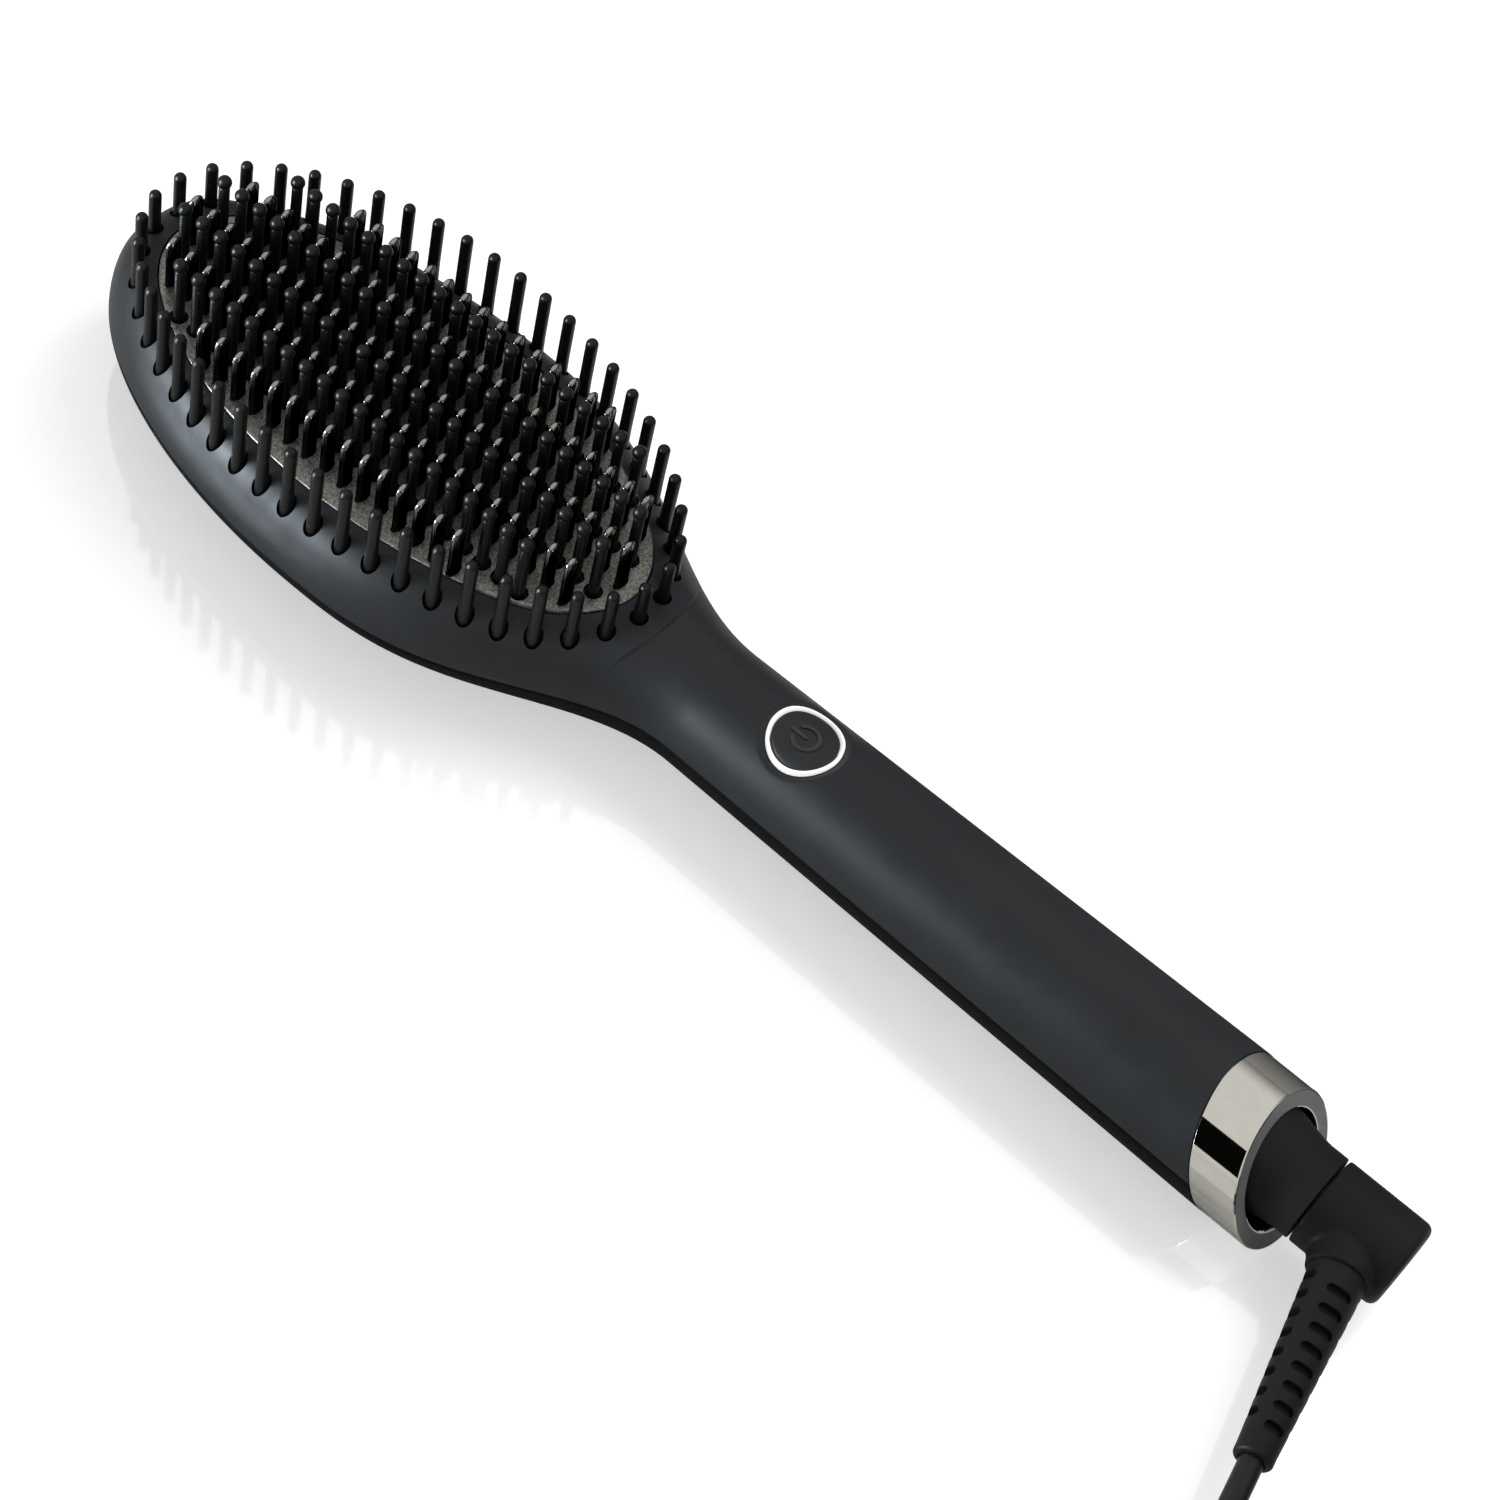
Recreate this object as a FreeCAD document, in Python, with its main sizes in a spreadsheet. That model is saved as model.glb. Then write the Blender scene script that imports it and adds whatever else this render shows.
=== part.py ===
"""Heated styling brush lying on its back: +X from the head's tip to the cord end, +Z up, table at z = 0.

The oval head and the round handle are one pair of shells. The handle's axis runs along X at the
height of the end ring's radius, so the ring and the back of the head both rest on the table.
"""
import FreeCAD, Part
import math
import os
import re
import Sketcher
from types import SimpleNamespace
from FreeCAD import Placement, Rotation, Vector

os.makedirs("parts", exist_ok=True)
doc = FreeCAD.newDocument("styling_brush")

# Driving dimensions in millimetres, angles in degrees. A reach is measured along X from the head's tip.
SIZES = {
    # Shells
    "overall_length": 308.0,
    "head_length": 148.8,
    "head_width": 70.6,
    "face_height": 28.7,
    "edge_round": 9.5,
    "rest_sink": 0.4,
    "neck_overlap": 0.8,
    "neck_radius": 12.6,
    "crown_flat": 1.0,
    "shell_wall": 2.2,
    "cut_overrun": 6.0,
    "fit_clearance": 0.1,
    "seat_clearance": 0.3,
    "post_radius": 3.0,
    "post_spread_x": 76.0,
    "post_spread_y": 28.0,
    # Heated field; margins are what a length or width of the head leaves over
    "field_offset": 5.4,
    "plate_end_margin": 32.2,
    "plate_side_margin": 18.0,
    "plate_thickness": 2.0,
    "plate_gap": 0.25,
    "lattice_margin": 7.4,
    "row_margin": 11.8,
    "fin_width": 3.8,
    "fin_thickness": 1.7,
    "fin_height": 12.3,
    "stem_diameter": 2.0,
    "ball_diameter": 2.6,
    "ball_height": 43.3,
    "pin_end_margin": 24.2,
    "pin_side_margin": 9.4,
    "pin_diameter": 2.3,
    "pin_hole": 3.6,
    "pin_tip_height": 42.9,
    "pin_crown": 4.2,
    # Heater stack under the plate
    "strip_end_margin": 26.6,
    "strip_width": 6.4,
    "strip_thickness": 1.3,
    "mica_thickness": 0.4,
    "pad_end_margin": 48.8,
    "pad_side_margin": 21.4,
    "pad_thickness": 7.6,
    "frame_end_margin": 22.4,
    "frame_side_margin": 7.6,
    "frame_thickness": 2.4,
    "shield_end_margin": 26.8,
    "shield_side_margin": 12.6,
    "shield_thickness": 0.6,
    "sensor_radius": 0.8,
    "thermistor_length": 5.0,
    "fuse_link_length": 6.0,
    "lead_radius": 0.6,
    "lead_drop_margin": 31.3,
    "lead_hole": 1.5,
    "lead_spread": 12.0,
    # Control board
    "board_width": 18.5,
    "board_thickness": 1.6,
    "board_drop": 2.45,
    "board_screw_radius": 0.9,
    "board_screw_depth": 4.0,
    "board_screw_head_radius": 1.9,
    "board_screw_head_height": 1.3,
    "board_post_radius": 2.4,
    "switch_size": 6.0,
    "switch_height": 3.4,
    "switch_bore_depth": 2.4,
    "plunger_radius": 1.7,
    "plunger_height": 2.8,
    "plunger_lift": 0.8,
    "led_length": 1.6,
    "led_width": 0.8,
    "led_height": 0.7,
    "led_circle": 5.3,
    "buzzer_height": 3.0,
    "capacitor_width": 8.0,
    "capacitor_height": 7.0,
    "triac_width": 10.0,
    "triac_height": 7.5,
    "mains_fuse_radius": 1.6,
    "mains_fuse_side": 6.6,
    "mains_lead_radius": 0.8,
    "mains_lead_spread": 14.8,
    # Power button
    "light_ring_radius": 7.25,
    "light_ring_wall": 0.85,
    "button_gap": 0.25,
    "button_cap_depth": 3.2,
    "button_stem_radius": 1.6,
    # Slanted end ring; a setback is measured along X from the elbow's end
    "ring_radius": 14.45,
    "ring_bore": 11.1,
    "ring_width": 10.2,
    "ring_setback": 36.8,
    "ring_slant": 25.0,
    # Swivel
    "cap_setback": 58.0,
    "cap_taper_setback": 32.0,
    "cap_waist_setback": 25.0,
    "seam_setback": 18.8,
    "bearing_setback": 36.0,
    "spindle_setback": 49.0,
    "exit_setback": 9.9,
    "cap_flange_radius": 11.5,
    "cap_flange_length": 9.0,
    "cap_body_radius": 10.95,
    "cap_cavity_radius": 9.3,
    "seam_gap": 0.4,
    "seam_radius": 8.75,
    "spindle_radius": 4.5,
    "spindle_bore": 2.6,
    "spindle_insert": 8.0,
    "running_clearance": 0.08,
    "collar_flange_radius": 6.6,
    "collar_flange_width": 1.6,
    "slip_ring_radius": 5.6,
    "slip_ring_width": 2.5,
    "slip_ring_inset": 1.5,
    "slip_ring_pitch": 4.0,
    "brush_length": 2.0,
    "brush_width": 2.85,
    "brush_height": 3.0,
    "brush_gap": 0.15,
    "elbow_end_round": 1.7,
    "exit_lean": 12.8,
    "collar_radius": 6.0,
    "collar_length": 10.2,
    # Strain relief and cord
    "relief_length": 38.8,
    "relief_root_radius": 5.3,
    "relief_tip_radius": 3.6,
    "relief_lip": 2.4,
    "slot_pitch": 4.0,
    "slot_width": 1.7,
    "slot_depth": 1.5,
    "slot_span": 4.4,
    "cord_radius": 2.25,
    "coil_outer_radius": 30.0,
    "coil_turn_pitch": 5.1,
    "tie_width": 8.0,
    "tie_thickness": 0.8,
    "tie_slack": 1.0,
    "plug_width": 26.0,
    "plug_height": 14.0,
    "plug_length": 28.0,
    "plug_round": 4.0,
    "plug_neck_length": 12.0,
    "plug_neck_radius": 5.2,
    "plug_pin_radius": 2.0,
    "plug_pin_length": 19.0,
    "plug_pin_spread": 19.0,
}

# Shares of the handle's run from neck to ring, and of the board beyond the button
SHARES = {
    "board_start_share": 0.0162,
    "board_length_share": 0.6169,
    "button_share": 0.168,
    "screw_inset_share": 0.0658,
    "buzzer_share": 0.4,
    "buzzer_radius_share": 0.0785,
    "capacitor_share": 0.5275,
    "capacitor_length_share": 0.227,
    "triac_share": 0.7665,
    "triac_length_share": 0.0785,
    "mains_fuse_share": 0.581,
    "mains_fuse_length_share": 0.1745,
}

# Lengths that follow the sizes above
DERIVED = {
    "neck_reach": "head_length - neck_overlap",
    "field_reach": "head_length / 2 - field_offset",
    "plate_length": "head_length - plate_end_margin",
    "plate_width": "head_width - plate_side_margin",
    "lattice_pitch": "(plate_length - lattice_margin) / 24",
    "row_pitch": "(plate_width - row_margin) / 8",
    "pin_ring_length": "head_length - pin_end_margin",
    "pin_ring_width": "head_width - pin_side_margin",
    "strip_length": "plate_length - strip_end_margin",
    "pad_length": "head_length - pad_end_margin",
    "pad_width": "head_width - pad_side_margin",
    "frame_length": "head_length - frame_end_margin",
    "frame_width": "head_width - frame_side_margin",
    "shield_length": "head_length - shield_end_margin",
    "shield_width": "head_width - shield_side_margin",
    "lead_drop_reach": "head_length - lead_drop_margin",
    "ring_reach": "overall_length - ring_setback",
    "cap_reach": "overall_length - cap_setback",
    "cap_taper_reach": "overall_length - cap_taper_setback",
    "cap_waist_reach": "overall_length - cap_waist_setback",
    "seam_reach": "overall_length - seam_setback",
    "bearing_reach": "overall_length - bearing_setback",
    "spindle_reach": "overall_length - spindle_setback",
    "exit_reach": "overall_length - exit_setback",
    "handle_run": "ring_reach - neck_reach",
    "board_reach": "neck_reach + board_start_share * handle_run",
    "board_length": "board_length_share * handle_run",
    "board_screw_inset": "screw_inset_share * board_length",
    "button_reach": "neck_reach + button_share * handle_run",
    "button_run": "board_reach + board_length - button_reach",
    "buzzer_reach": "button_reach + buzzer_share * button_run",
    "buzzer_radius": "buzzer_radius_share * button_run",
    "capacitor_reach": "button_reach + capacitor_share * button_run",
    "capacitor_length": "capacitor_length_share * button_run",
    "triac_reach": "button_reach + triac_share * button_run",
    "triac_length": "triac_length_share * button_run",
    "mains_fuse_reach": "button_reach + mains_fuse_share * button_run",
    "mains_fuse_length": "mains_fuse_length_share * button_run",
}

# Counts
PIN_COUNT = 46
PIN_SIDES = 6
STEM_SIDES = 5
RELIEF_SIDES = 16
ROD_SIDES = 8
FIN_ARC_STEPS = 4
FIN_HALF_ROWS = {-4: 7, -2: 11, 0: 12, 2: 11, 4: 7}
BALL_HALF_ROWS = {-3: 10, -1: 12, 1: 12, 3: 10}
TIP_STEPS = 10
NECK_STEPS = 10
EDGE_STEPS = 5
BACK_STEPS = 6
CORD_SIDES = 6
COIL_LAYERS = 4
COIL_HALF_TURNS = 4
SLOT_COUNT = 8

# How late the head narrows on its way to the neck
NECK_EASE = 1.35
# How far towards the neck the flat face reaches before it falls to the handle
CREASE_SHARE = 0.8
TIP_START_SHARE = 0.25
TIP_ROUND_SHARE = 0.75
TIP_CAP_SHARE = 0.55
BALL_NECK_SHARE = 0.7
BEND_SHARE = 0.45
WEB_ROUND_SHARE = 0.55
WEB_THICKNESS_SHARE = 0.84

# The cord's route from the strain relief to the coil and from the coil to the plug: how far along its
# heading and how high
LEAD_ROUTE = ((12.0, 14.45), (34.0, 3.5), (46.0, 3.5))
TAIL_ROUTE = ((13.0, 18.8), (36.0, 7.0), (49.0, 7.0))


def fill_sheet(numbers, formulas):
    sheet = doc.addObject("Spreadsheet::Sheet", "Sizes")
    entries = {alias: str(number) for alias, number in numbers.items()}
    entries.update({alias: "=" + text for alias, text in formulas.items()})
    for row, alias in enumerate(entries, start=1):
        sheet.set("A%d" % row, alias)
        sheet.setAlias("B%d" % row, alias)
    for row, entry in enumerate(entries.values(), start=1):
        sheet.set("B%d" % row, entry)
    doc.recompute()
    return SimpleNamespace(**{alias: float(sheet.get(alias)) for alias in entries})


dim = fill_sheet({**SIZES, **SHARES}, DERIVED)


def formula(text):
    """Every sheet alias has an underscore, so a bare alias in the text becomes a sheet reference."""
    return re.sub(r"\b([a-z]+_\w+)\b", r"Sizes.\1", text)


def bind(item, **properties):
    for name, text in properties.items():
        item.setExpression(name.replace("__", "."), formula(text))
    return item


def place(item, x="0", y="0", z="0"):
    return bind(item, Placement__Base__x=x, Placement__Base__y=y, Placement__Base__z=z)


def primitive(kind, label, x, y, z, **properties):
    item = doc.addObject("Part::" + kind, label)
    item.Label = label
    bind(item, **properties)
    return place(item, x, y, z)


def box(label, x, y, z, length, width, height):
    """A box centred on y, from x and z upwards."""
    middle = "%s - (%s) / 2" % (y, width)
    return primitive("Box", label, x, middle, z, Length=length, Width=width, Height=height)


def cylinder(label, x, y, z, radius, height):
    return primitive("Cylinder", label, x, y, z, Radius=radius, Height=height)


def rod(label, x, y, z, radius, height):
    """A flat-sided rod for what is hidden inside."""
    item = primitive("Prism", label, x, y, z, Circumradius=radius, Height=height)
    item.Polygon = ROD_SIDES
    return item


def along_x(item):
    item.Placement = Placement(item.Placement.Base, Rotation(Vector(0, 1, 0), 90))
    return item


def oval_plate(label, length, width, bottom, thickness):
    """An ellipse on the heated field's centre, extruded upwards."""
    oval = primitive("Ellipse", label + "_outline", at("field_reach"), "0", bottom,
                     MajorRadius="(%s) / 2" % length, MinorRadius="(%s) / 2" % width)
    solid = doc.addObject("Part::Extrusion", label)
    solid.Label = label
    solid.Base = oval
    solid.DirMode = "Custom"
    solid.Dir = Vector(0, 0, 1)
    solid.Solid = True
    return bind(solid, LengthFwd=thickness)


def combine(kind, label, base, tool):
    item = doc.addObject("Part::" + kind, label)
    item.Label = label
    item.Base = base
    item.Tool = tool
    return item


def joined(kind, label, members):
    item = doc.addObject("Part::" + kind, label)
    item.Label = label
    if kind == "Compound":
        item.Links = members
    else:
        item.Shapes = members
    return item


def feature(label, shape):
    item = doc.addObject("Part::Feature", label)
    item.Label = label
    item.Shape = shape
    return item


def at(reach):
    """The sheet formula of the X place of a named reach."""
    return "%s - overall_length / 2" % reach


def station(reach):
    return reach - dim.overall_length / 2


# Heights of the stack under the plate, as sheet formulas and as numbers
PLATE_BOTTOM = "face_height - plate_thickness"
STRIP_BOTTOM = PLATE_BOTTOM + " - strip_thickness"
PAD_TOP = STRIP_BOTTOM + " - mica_thickness"
FRAME_TOP = PAD_TOP + " - pad_thickness"
FRAME_BOTTOM = FRAME_TOP + " - frame_thickness"
SHIELD_BOTTOM = FRAME_BOTTOM + " - shield_thickness"
BOARD_BOTTOM = "ring_radius - board_drop"
BOARD_TOP = BOARD_BOTTOM + " + board_thickness"
plate_bottom = dim.face_height - dim.plate_thickness
pad_top = plate_bottom - dim.strip_thickness - dim.mica_thickness
frame_top = pad_top - dim.pad_thickness
shield_bottom = frame_top - dim.frame_thickness - dim.shield_thickness
board_bottom = dim.ring_radius - dim.board_drop
board_top = board_bottom + dim.board_thickness
axis_height = dim.ring_radius
field_x = station(dim.field_reach)


# Outer and inner forms of the shells

def crown_section(x, half_width, rise, round_width):
    """The half above the parting line: rounded edges and a flat crown."""
    flat = half_width - round_width
    corners = []
    for index in range(EDGE_STEPS + 1):
        turn = math.pi / 2 * index / EDGE_STEPS
        corners.append(Vector(x, flat + round_width * math.cos(turn), axis_height + rise * math.sin(turn)))
    corners += [Vector(x, -corner.y, corner.z) for corner in reversed(corners)]
    return Part.makePolygon(corners + corners[:1])


def back_section(x, half_width, depth):
    """The half below the parting line: a half oval."""
    corners = []
    for index in range(2 * BACK_STEPS + 1):
        turn = math.pi * index / (2 * BACK_STEPS)
        corners.append(Vector(x, half_width * math.cos(turn), axis_height - depth * math.sin(turn)))
    return Part.makePolygon(corners + corners[:1])


def body_stations(inset):
    """Along the brush: place, half width, rise, depth and width of the rounded edge, drawn in by an inset."""
    half_length = dim.head_length / 2 - inset
    half_width = dim.head_width / 2 - inset
    rise = dim.face_height - axis_height - inset
    depth = axis_height + dim.rest_sink - inset
    edge = dim.edge_round - inset
    neck = dim.neck_radius - inset
    ring = dim.ring_radius - inset
    middle_x = station(inset) + half_length
    neck_x = station(dim.neck_reach)
    end_x = station(dim.ring_reach)
    stations = []
    for step in [TIP_START_SHARE] + list(range(1, TIP_STEPS + 1)):
        turn = math.pi / 2 * step / TIP_STEPS
        fullness = math.sin(turn)
        climb = min(1, (1 - math.cos(turn)) * half_length / edge)
        height = rise * math.sqrt(1 - (1 - climb) ** 2)
        width = half_width * fullness
        stations.append((middle_x - half_length * math.cos(turn), width, height, depth * fullness,
                         min(edge, TIP_ROUND_SHARE * width)))
    for step in range(1, NECK_STEPS + 1):
        way = step / NECK_STEPS
        spread = (1 + math.cos(math.pi * way ** NECK_EASE)) / 2
        lift = min(1, (1 - way) / (1 - CREASE_SHARE))
        width = neck + spread * (half_width - neck)
        round_width = (1 - spread) * (width - dim.crown_flat) + spread * edge
        stations.append((middle_x + way * (neck_x - middle_x), width, neck + lift * (rise - neck),
                         neck + spread * (depth - neck), round_width))
    for x in (end_x, end_x + dim.ring_radius + dim.cut_overrun):
        stations.append((x, ring, ring, ring, ring - dim.crown_flat))
    return stations


def crown_form(stations):
    sections = [crown_section(x, width, rise, edge) for x, width, rise, depth, edge in stations]
    return Part.makeLoft(sections, True, True)


def back_form(stations):
    sections = [back_section(x, width, depth) for x, width, rise, depth, edge in stations]
    return Part.makeLoft(sections, True, True)


outer_stations = body_stations(0)
inner_stations = body_stations(dim.shell_wall)
inner_stations = inner_stations[:-2:2] + inner_stations[-2:]
crown_outer = feature("crown_outer", crown_form(outer_stations))
crown_inner = feature("crown_inner", crown_form(inner_stations))
back_outer = feature("back_outer", back_form(outer_stations))
back_inner = feature("back_inner", back_form(inner_stations))


def slanted_block(label, reach, length):
    """A block that starts at the slanted plane crossing the axis at a reach and grows towards the cord."""
    block = primitive("Box", label, "0", "0", "0", Length=length, Width="head_width", Height="head_width")
    for path in ("Placement.Base.x", "Placement.Base.y", "Placement.Base.z"):
        block.setExpression(path, None)
    turn = Placement(Vector(station(reach), 0, axis_height), Rotation(Vector(0, 1, 0), -dim.ring_slant))
    corner = Vector(0, -dim.head_width / 2, -dim.head_width / 2)
    block.Placement = turn.multiply(Placement(corner, Rotation()))
    return block


# Places of the bristles and fins

def ring_places(length, width, count):
    """Points at equal steps along an ellipse, the first half a step from its tip."""
    steps = 3600
    outline = []
    for index in range(steps + 1):
        turn = math.pi + 2 * math.pi * index / steps
        outline.append((field_x + length / 2 * math.cos(turn), width / 2 * math.sin(turn)))
    travelled = [0.0]
    for before, after in zip(outline, outline[1:]):
        travelled.append(travelled[-1] + math.dist(before, after))
    places = []
    for index in range(count):
        wanted = travelled[-1] * (index + 0.5) / count
        nearest = min(range(steps), key=lambda step: abs(travelled[step] - wanted))
        places.append(outline[nearest])
    return places


def row_places(half_rows, offset):
    """Lattice points of each row, a row number times the row pitch from the centreline."""
    places = []
    for row, half_count in half_rows.items():
        first = -half_count + offset
        count = int(2 * half_count + 1 - 2 * offset)
        for index in range(count):
            places.append((field_x + (first + index) * dim.lattice_pitch, row * dim.row_pitch))
    return places


pin_places = ring_places(dim.pin_ring_length, dim.pin_ring_width, PIN_COUNT)
fin_places = row_places(FIN_HALF_ROWS, 0)
ball_places = row_places(BALL_HALF_ROWS, 0.5)


def faceted_peg(levels, sides):
    """An upright peg of flat-sided rings, each level a radius and a height."""
    rings = []
    for radius, height in levels:
        turns = [2 * math.pi * side / sides for side in range(sides)]
        rings.append([Vector(radius * math.cos(turn), radius * math.sin(turn), height) for turn in turns])
    outlines = [rings[0], rings[-1]]
    for lower, upper in zip(rings, rings[1:]):
        for side in range(sides):
            outlines.append([lower[side - 1], lower[side], upper[side], upper[side - 1]])
    faces = [Part.Face(Part.makePolygon(outline + outline[:1])) for outline in outlines]
    return Part.Solid(Part.Shell(faces))


def copies(shape, places):
    solids = []
    for x, y in places:
        solid = shape.copy()
        solid.translate(Vector(x, y, 0))
        solids.append(solid)
    return Part.Compound(solids)


# Shells

table_block = box("table_block", "-overall_length", "0", "0",
                  "2 * overall_length", "2 * head_width", "ring_radius")
shell_end = slanted_block("shell_end", dim.ring_reach, "head_length")


def front_openings():
    """The plate's opening, the bristle holes and the button hole."""
    oval = Part.Ellipse(Vector(field_x, 0, plate_bottom - dim.cut_overrun),
                        dim.plate_length / 2 + dim.plate_gap, dim.plate_width / 2 + dim.plate_gap)
    face = Part.Face(Part.Wire(oval.toShape()))
    opening = face.extrude(Vector(0, 0, 2 * dim.cut_overrun + dim.plate_thickness))
    hole_radius = dim.pin_hole / 2
    pin_hole = faceted_peg(((hole_radius, frame_top), (hole_radius, 2 * dim.face_height)), PIN_SIDES)
    button_hole = Part.makeCylinder(dim.light_ring_radius, dim.face_height,
                                    Vector(station(dim.button_reach), 0, board_top))
    return Part.Compound([opening, button_hole] + copies(pin_hole, pin_places).Solids)


crown_walls = combine("Cut", "crown_walls", crown_outer, crown_inner)
crown_trimmed = combine("Cut", "crown_trimmed", crown_walls, shell_end)
front_shell = combine("Cut", "front_shell", crown_trimmed, feature("front_openings", front_openings()))


def back_posts():
    """Posts under the heat shield and the control board, rising from the back wall."""
    posts = []
    for side_x in (-1, 1):
        for side_y in (-1, 1):
            name = "shield_post_%d" % len(posts)
            posts.append(rod(name, at("field_reach") + " + %d * post_spread_x / 2" % side_x,
                                  "%d * post_spread_y / 2" % side_y, "0", "post_radius", SHIELD_BOTTOM))
    for name, inset in (("board_post_head", "board_screw_inset"),
                        ("board_post_cord", "board_length - board_screw_inset")):
        posts.append(cylinder(name, at("board_reach") + " + " + inset, "0", "0",
                              "board_post_radius", BOARD_BOTTOM))
    return posts


def board_screw_holes(label, radius, depth):
    holes = []
    for name, inset in (("head", "board_screw_inset"), ("cord", "board_length - board_screw_inset")):
        holes.append(cylinder("%s_%s" % (label, name), at("board_reach") + " + " + inset, "0",
                              "%s - (%s)" % (BOARD_BOTTOM, depth), radius, "%s + cut_overrun" % depth))
    return joined("Compound", label, holes)


back_walls = combine("Cut", "back_walls", back_outer, back_inner)
post_stock = combine("Common", "post_stock", joined("MultiFuse", "posts", back_posts()), back_outer)
back_solid = joined("MultiFuse", "back_solid", [back_walls, post_stock])
back_rested = combine("Common", "back_rested", back_solid, table_block)
back_trimmed = combine("Cut", "back_trimmed", back_rested, shell_end)
back_shell = combine("Cut", "back_shell", back_trimmed,
                     board_screw_holes("post_holes", "board_screw_radius + fit_clearance / 2",
                                       "board_screw_depth + fit_clearance"))

# Heated field

heater_plate = oval_plate("heater_plate", "plate_length", "plate_width", PLATE_BOTTOM, "plate_thickness")


def fin_blade():
    """A blade across the brush with a half-round top."""
    half = dim.fin_width / 2
    side = -dim.fin_thickness / 2
    shoulder = dim.face_height + dim.fin_height - half
    corners = [Vector(side, -half, dim.face_height), Vector(side, half, dim.face_height)]
    for step in range(FIN_ARC_STEPS + 1):
        turn = math.pi * step / FIN_ARC_STEPS
        corners.append(Vector(side, half * math.cos(turn), shoulder + half * math.sin(turn)))
    return Part.Face(Part.makePolygon(corners + corners[:1])).extrude(Vector(dim.fin_thickness, 0, 0))


heated_fins = feature("heated_fins", copies(fin_blade(), fin_places))


def ball_bristle():
    stem = dim.stem_diameter / 2
    ball = dim.ball_diameter / 2
    neck = dim.ball_height - BALL_NECK_SHARE * ball
    levels = ((stem, dim.face_height), (stem, neck), (ball, dim.ball_height),
              (TIP_CAP_SHARE * ball, dim.ball_height + ball))
    return faceted_peg(levels, STEM_SIDES)


inner_bristles = feature("inner_bristles", copies(ball_bristle(), ball_places))


def outer_pins():
    """Round-tipped pins whose tips follow a low arch along the head."""
    radius = dim.pin_diameter / 2
    pins = []
    for x, y in pin_places:
        along = (x - field_x) / (dim.pin_ring_length / 2)
        tip = dim.pin_tip_height - dim.pin_crown * along ** 2
        levels = ((radius, frame_top), (radius, tip - radius), (TIP_CAP_SHARE * radius, tip))
        pin = faceted_peg(levels, PIN_SIDES)
        pin.translate(Vector(x, y, 0))
        pins.append(pin)
    return Part.Compound(pins)


outer_bristles = feature("outer_bristles", outer_pins())

# Heater stack

bristle_pad = oval_plate("bristle_pad", "pad_length", "pad_width", FRAME_TOP, "pad_thickness")
frame_blank = oval_plate("frame_blank", "frame_length", "frame_width", FRAME_BOTTOM, "frame_thickness")
shield_blank = oval_plate("shield_blank", "shield_length", "shield_width", SHIELD_BOTTOM, "shield_thickness")


def lead_holes(label, bottom, thickness):
    """A hole on each side where the heater leads go down."""
    holes = []
    for name, side in (("near", -1), ("far", 1)):
        holes.append(rod("%s_%s" % (label, name), at("lead_drop_reach"), "%d * 2 * row_pitch" % side,
                              "%s - cut_overrun" % bottom, "lead_hole", "%s + 2 * cut_overrun" % thickness))
    return joined("Compound", label, holes)


heater_frame = combine("Cut", "heater_frame", frame_blank,
                       lead_holes("frame_holes", FRAME_BOTTOM, "frame_thickness"))
heat_shield = combine("Cut", "heat_shield", shield_blank,
                      lead_holes("shield_holes", SHIELD_BOTTOM, "shield_thickness"))


def strips(label, bottom, thickness):
    """Three strips between the rows of ball bristles."""
    members = []
    for name, row in (("near", -2), ("middle", 0), ("far", 2)):
        members.append(box("%s_%s" % (label, name),
                           at("field_reach") + " - strip_length / 2", "%d * row_pitch" % row,
                           bottom, "strip_length", "strip_width", thickness))
    return joined("Compound", label, members)


ceramic_heaters = strips("ceramic_heaters", STRIP_BOTTOM, "strip_thickness")
mica_strips = strips("mica_strips", PAD_TOP, "mica_thickness")
thermistor = along_x(rod("thermistor", at("field_reach") + " - strip_length / 2 - thermistor_length",
                              "0", PLATE_BOTTOM + " - sensor_radius", "sensor_radius", "thermistor_length"))
thermal_fuse = along_x(rod("thermal_fuse", at("field_reach") + " + strip_length / 2",
                                "0", PLATE_BOTTOM + " - sensor_radius", "sensor_radius", "fuse_link_length"))


# Tubes along straight runs and tangent arcs

def arc_through(start, corner, end):
    """The arc that leaves start towards the corner and reaches end, both ends equally far from the corner."""
    middle = (start + end) * 0.5
    slope = (corner - start).getAngle(end - start)
    pull = math.cos(slope) / (1 + math.cos(slope))
    return Part.Arc(start, middle + (corner - middle) * pull, end).toShape()


def tube(label, edges, radius, corner_style=0):
    """A flat-sided tube on a path of lines and arcs, with its volume compared to section times length."""
    path = Part.Wire(edges)
    first = path.OrderedEdges[0]
    heading = first.tangentAt(first.FirstParameter)
    corners = []
    for side in range(CORD_SIDES + 1):
        turn = 2 * math.pi * (side % CORD_SIDES) / CORD_SIDES
        corners.append(Vector(radius * math.cos(turn), radius * math.sin(turn), 0))
    ring = Part.makePolygon(corners)
    ring.Placement = Placement(first.valueAt(first.FirstParameter), Rotation(Vector(0, 0, 1), heading))
    solid = path.makePipeShell([ring], True, False, corner_style)
    print("%s: length %.1f, volume %.4f of its section times its length"
          % (label, path.Length, solid.Volume / (Part.Face(ring).Area * path.Length)))
    return solid


def bent_path(points, trims):
    """Straight runs between the points, each corner an arc that starts a trim away from it."""
    edges = []
    last = points[0]
    for before, corner, after, trim in zip(points, points[1:], points[2:], trims):
        entry = corner + (before - corner).normalize() * trim
        leave = corner + (after - corner).normalize() * trim
        edges.append(Part.makeLine(last, entry))
        edges.append(arc_through(entry, corner, leave))
        last = leave
    edges.append(Part.makeLine(last, points[-1]))
    return edges


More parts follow.
